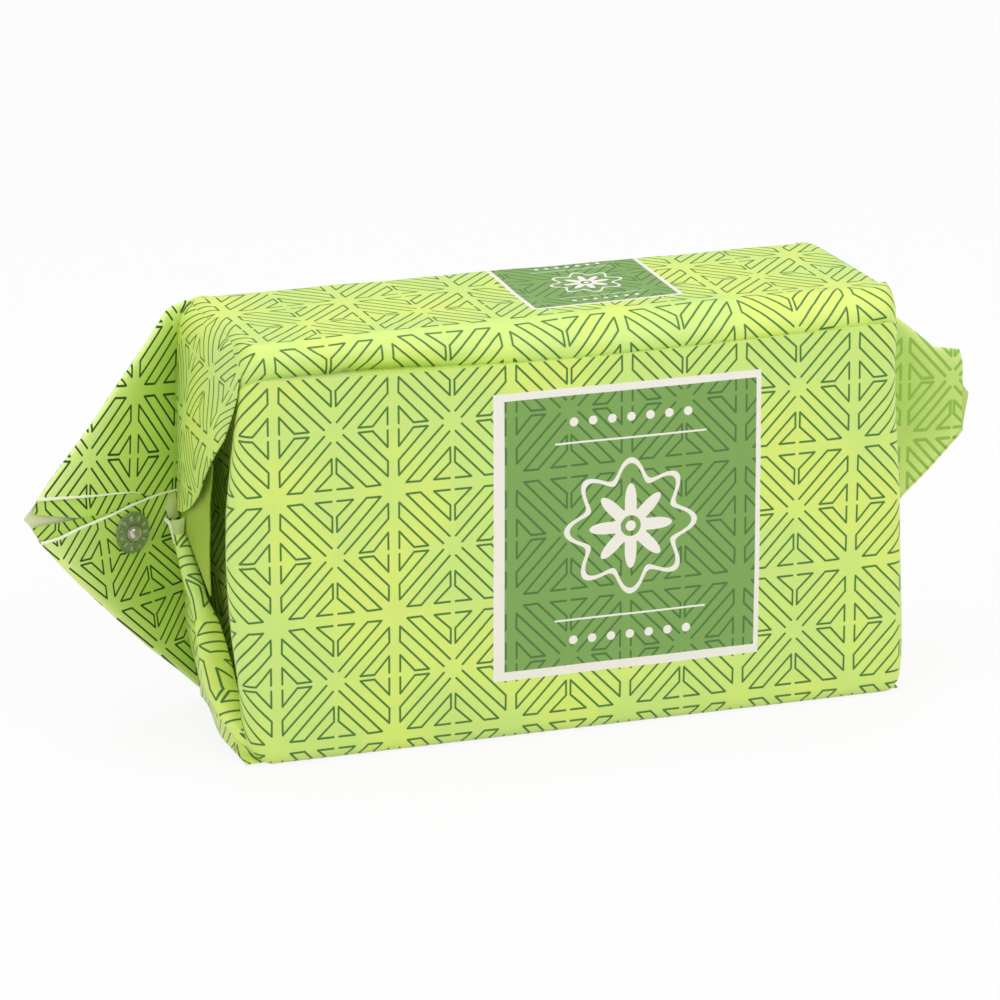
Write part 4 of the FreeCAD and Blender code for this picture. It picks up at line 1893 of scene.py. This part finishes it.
def main() -> None:
    """Load the frame, build every piece and report it."""
    logging.basicConfig(level=logging.INFO, format="%(message)s")
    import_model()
    lowest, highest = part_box("wrapped_block")
    brick, lattice = Brick(), Lattice()
    View().build()
    Studio().build()
    front_label = Label(-15.0, 30.1, 9.95, 57.15)
    top_label = Label(0.44, 26.34, -135.2, -109.2, scale=0.56, slant=-0.041, frame_left=0.7,
                      frame_right=0.7, frame_low=0.7, frame_high=0.7)
    printed = PrintedPaper("wrapper_printed", labels=(front_label, top_label)).make()
    # Painted shade: the wings' free paper gets a deeper tone and darker ink than the paper on the
    # butter, for the light it loses with nothing white behind it, plus a painted backlight tone
    # near its outline.
    loose = PrintedPaper("wrapper_printed_loose_painted_shade", tone="b3d656", tone_yellow="c2e268",
                         painted_backlight_tone="e0f396", ink="1e4c04", stroke=0.36).make()
    # The tucked inside is the inside paper painted darker and greener, as painted shade in the
    # recess of the left end.
    inside, tucked, cut, shaded, pale = (
        PlainPaper(name, tone=tone, shade=shade).make() for name, tone, shade in (
            ("wrapper_inside", "c6d68c", "b4c873"),
            ("wrapper_inside_tucked_painted_shade", "a9c24a", "98b440"),
            ("wrapper_cut_edge", "fbfcea", "eef3cc"),
            ("wrapper_inside_shaded", "c4de80", "b8d670"),
            ("wrapper_inside_loose", "e2e8bd", "ccd6a0")))
    # Painted shade on the right wing too: a deeper tone than the paper on the butter, with a
    # painted backlight tone near the outline; its strokes are faint and wide.
    faint = PrintedPaper("wrapper_printed_faint_painted_shade", tone="b4d65c", tone_yellow="c4e06c",
                         painted_backlight_tone="d4ec88", ink="94be4c", stroke=0.58).make()
    plastic, metal = ClearPlastic().make(), BrightMetal().make()
    body_set, loose_painted_shade_set = (printed, inside, cut), (loose, pale, cut)

    wrapper = Wrapper(brick, lattice, lowest / MM, highest / MM)
    pieces = [(wrapper.build(), body_set)]
    flap_print = Register(lattice, ((-0.87, 62.14, -0.5, -6.5), (-7.96, 50.72, -1, -7),
                                    (7.65, 50.7, -1, -6)))
    for side in Side:
        proud = 1.0 if side == Side.LEFT else 0.3
        pieces.append((TopFlap(side, wrapper, flap_print, bulge=0.9 * proud, proud=proud,
                               set_back=0.0 if side == Side.LEFT else 4.0).build(), body_set))
        pieces.append((RolledFlap(side, brick, proud=proud).build(), body_set))
    panel = Tuck("left_tucked_panel",
                 ((-56.0, -2.5, 45.5), (-55.9, -0.4, 38.0), (-55.9, 0.4, 30.0), (-55.7, 0.9, 22.7)),
                 ((-56.6, 13.0, 44.0), (-56.6, 13.4, 38.0), (-56.6, 13.3, 31.7),
                  (-55.7, 0.95, 22.7)),
                 (-1.0, 0.0, 0.0), wave=0.15)
    pieces.append((panel.build(), (printed, tucked, cut)))
    for tuck in (
        Tuck("left_open_end_upper", ((-57.2, 14.2, 36.3), (-58.2, 13.9, 36.0), (-59.3, 13.6, 34.3)),
             ((-57.0, 13.4, 32.4), (-57.7, 13.5, 31.9), (-58.6, 13.6, 32.3)),
             (-0.3, -1.0, 0.1), wave=0.3),
        Tuck("left_open_end_lower", ((-57.0, 10.2, 33.2), (-58.0, 10.8, 32.6), (-58.8, 11.6, 32.6)),
             ((-56.8, 11.2, 29.6), (-57.4, 11.4, 29.0), (-58.2, 11.8, 28.4)),
             (-0.5, -1.0, 0.1), wave=0.3),
        Tuck("left_open_end_torn_edge",
             ((-59.4, 14.0, 31.9), (-58.9, 12.9, 31.3), (-58.7, 12.2, 30.2), (-58.3, 12.3, 28.3)),
             ((-59.2, 13.9, 32.4), (-58.5, 12.8, 31.9), (-58.2, 12.1, 30.6), (-58.0, 12.2, 28.4)),
             (-0.4, -1.0, 0.0), cut_rows=10, wave=0.12, columns=24),
    ):
        pieces.append((tuck.build(), body_set))
    wing, wing_pieces = left_wing(wrapper, lattice)
    pieces += [(piece, loose_painted_shade_set) for piece in wing_pieces]
    pieces.append((right_wing(wrapper, lattice), (faint, shaded, cut)))
    for piece, materials in pieces:
        for index, material in enumerate(materials):
            piece.data.materials[index] = material
        shade(piece, PAPER_CREASE)
        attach(piece, BODY)
        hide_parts("wrapped_block")
    seal = Seal(wing.band)
    disc, stud = seal.disc(), seal.stud()
    for piece, material, slot, node in ((disc, plastic, "seal", "seal_disc"),
                                        (stud, metal, "stud", "seal_stud")):
        for index in Face:
            piece.data.materials[index] = material
        shade(piece, SEAL_CREASE)
        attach(piece, BODY)
        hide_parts(node)
        pieces.append((piece, (material,)))
    for piece, _ in pieces:
        log.info("%s: %d faces", piece.name, len(piece.data.polygons))


if __name__ == "__main__":
    main()
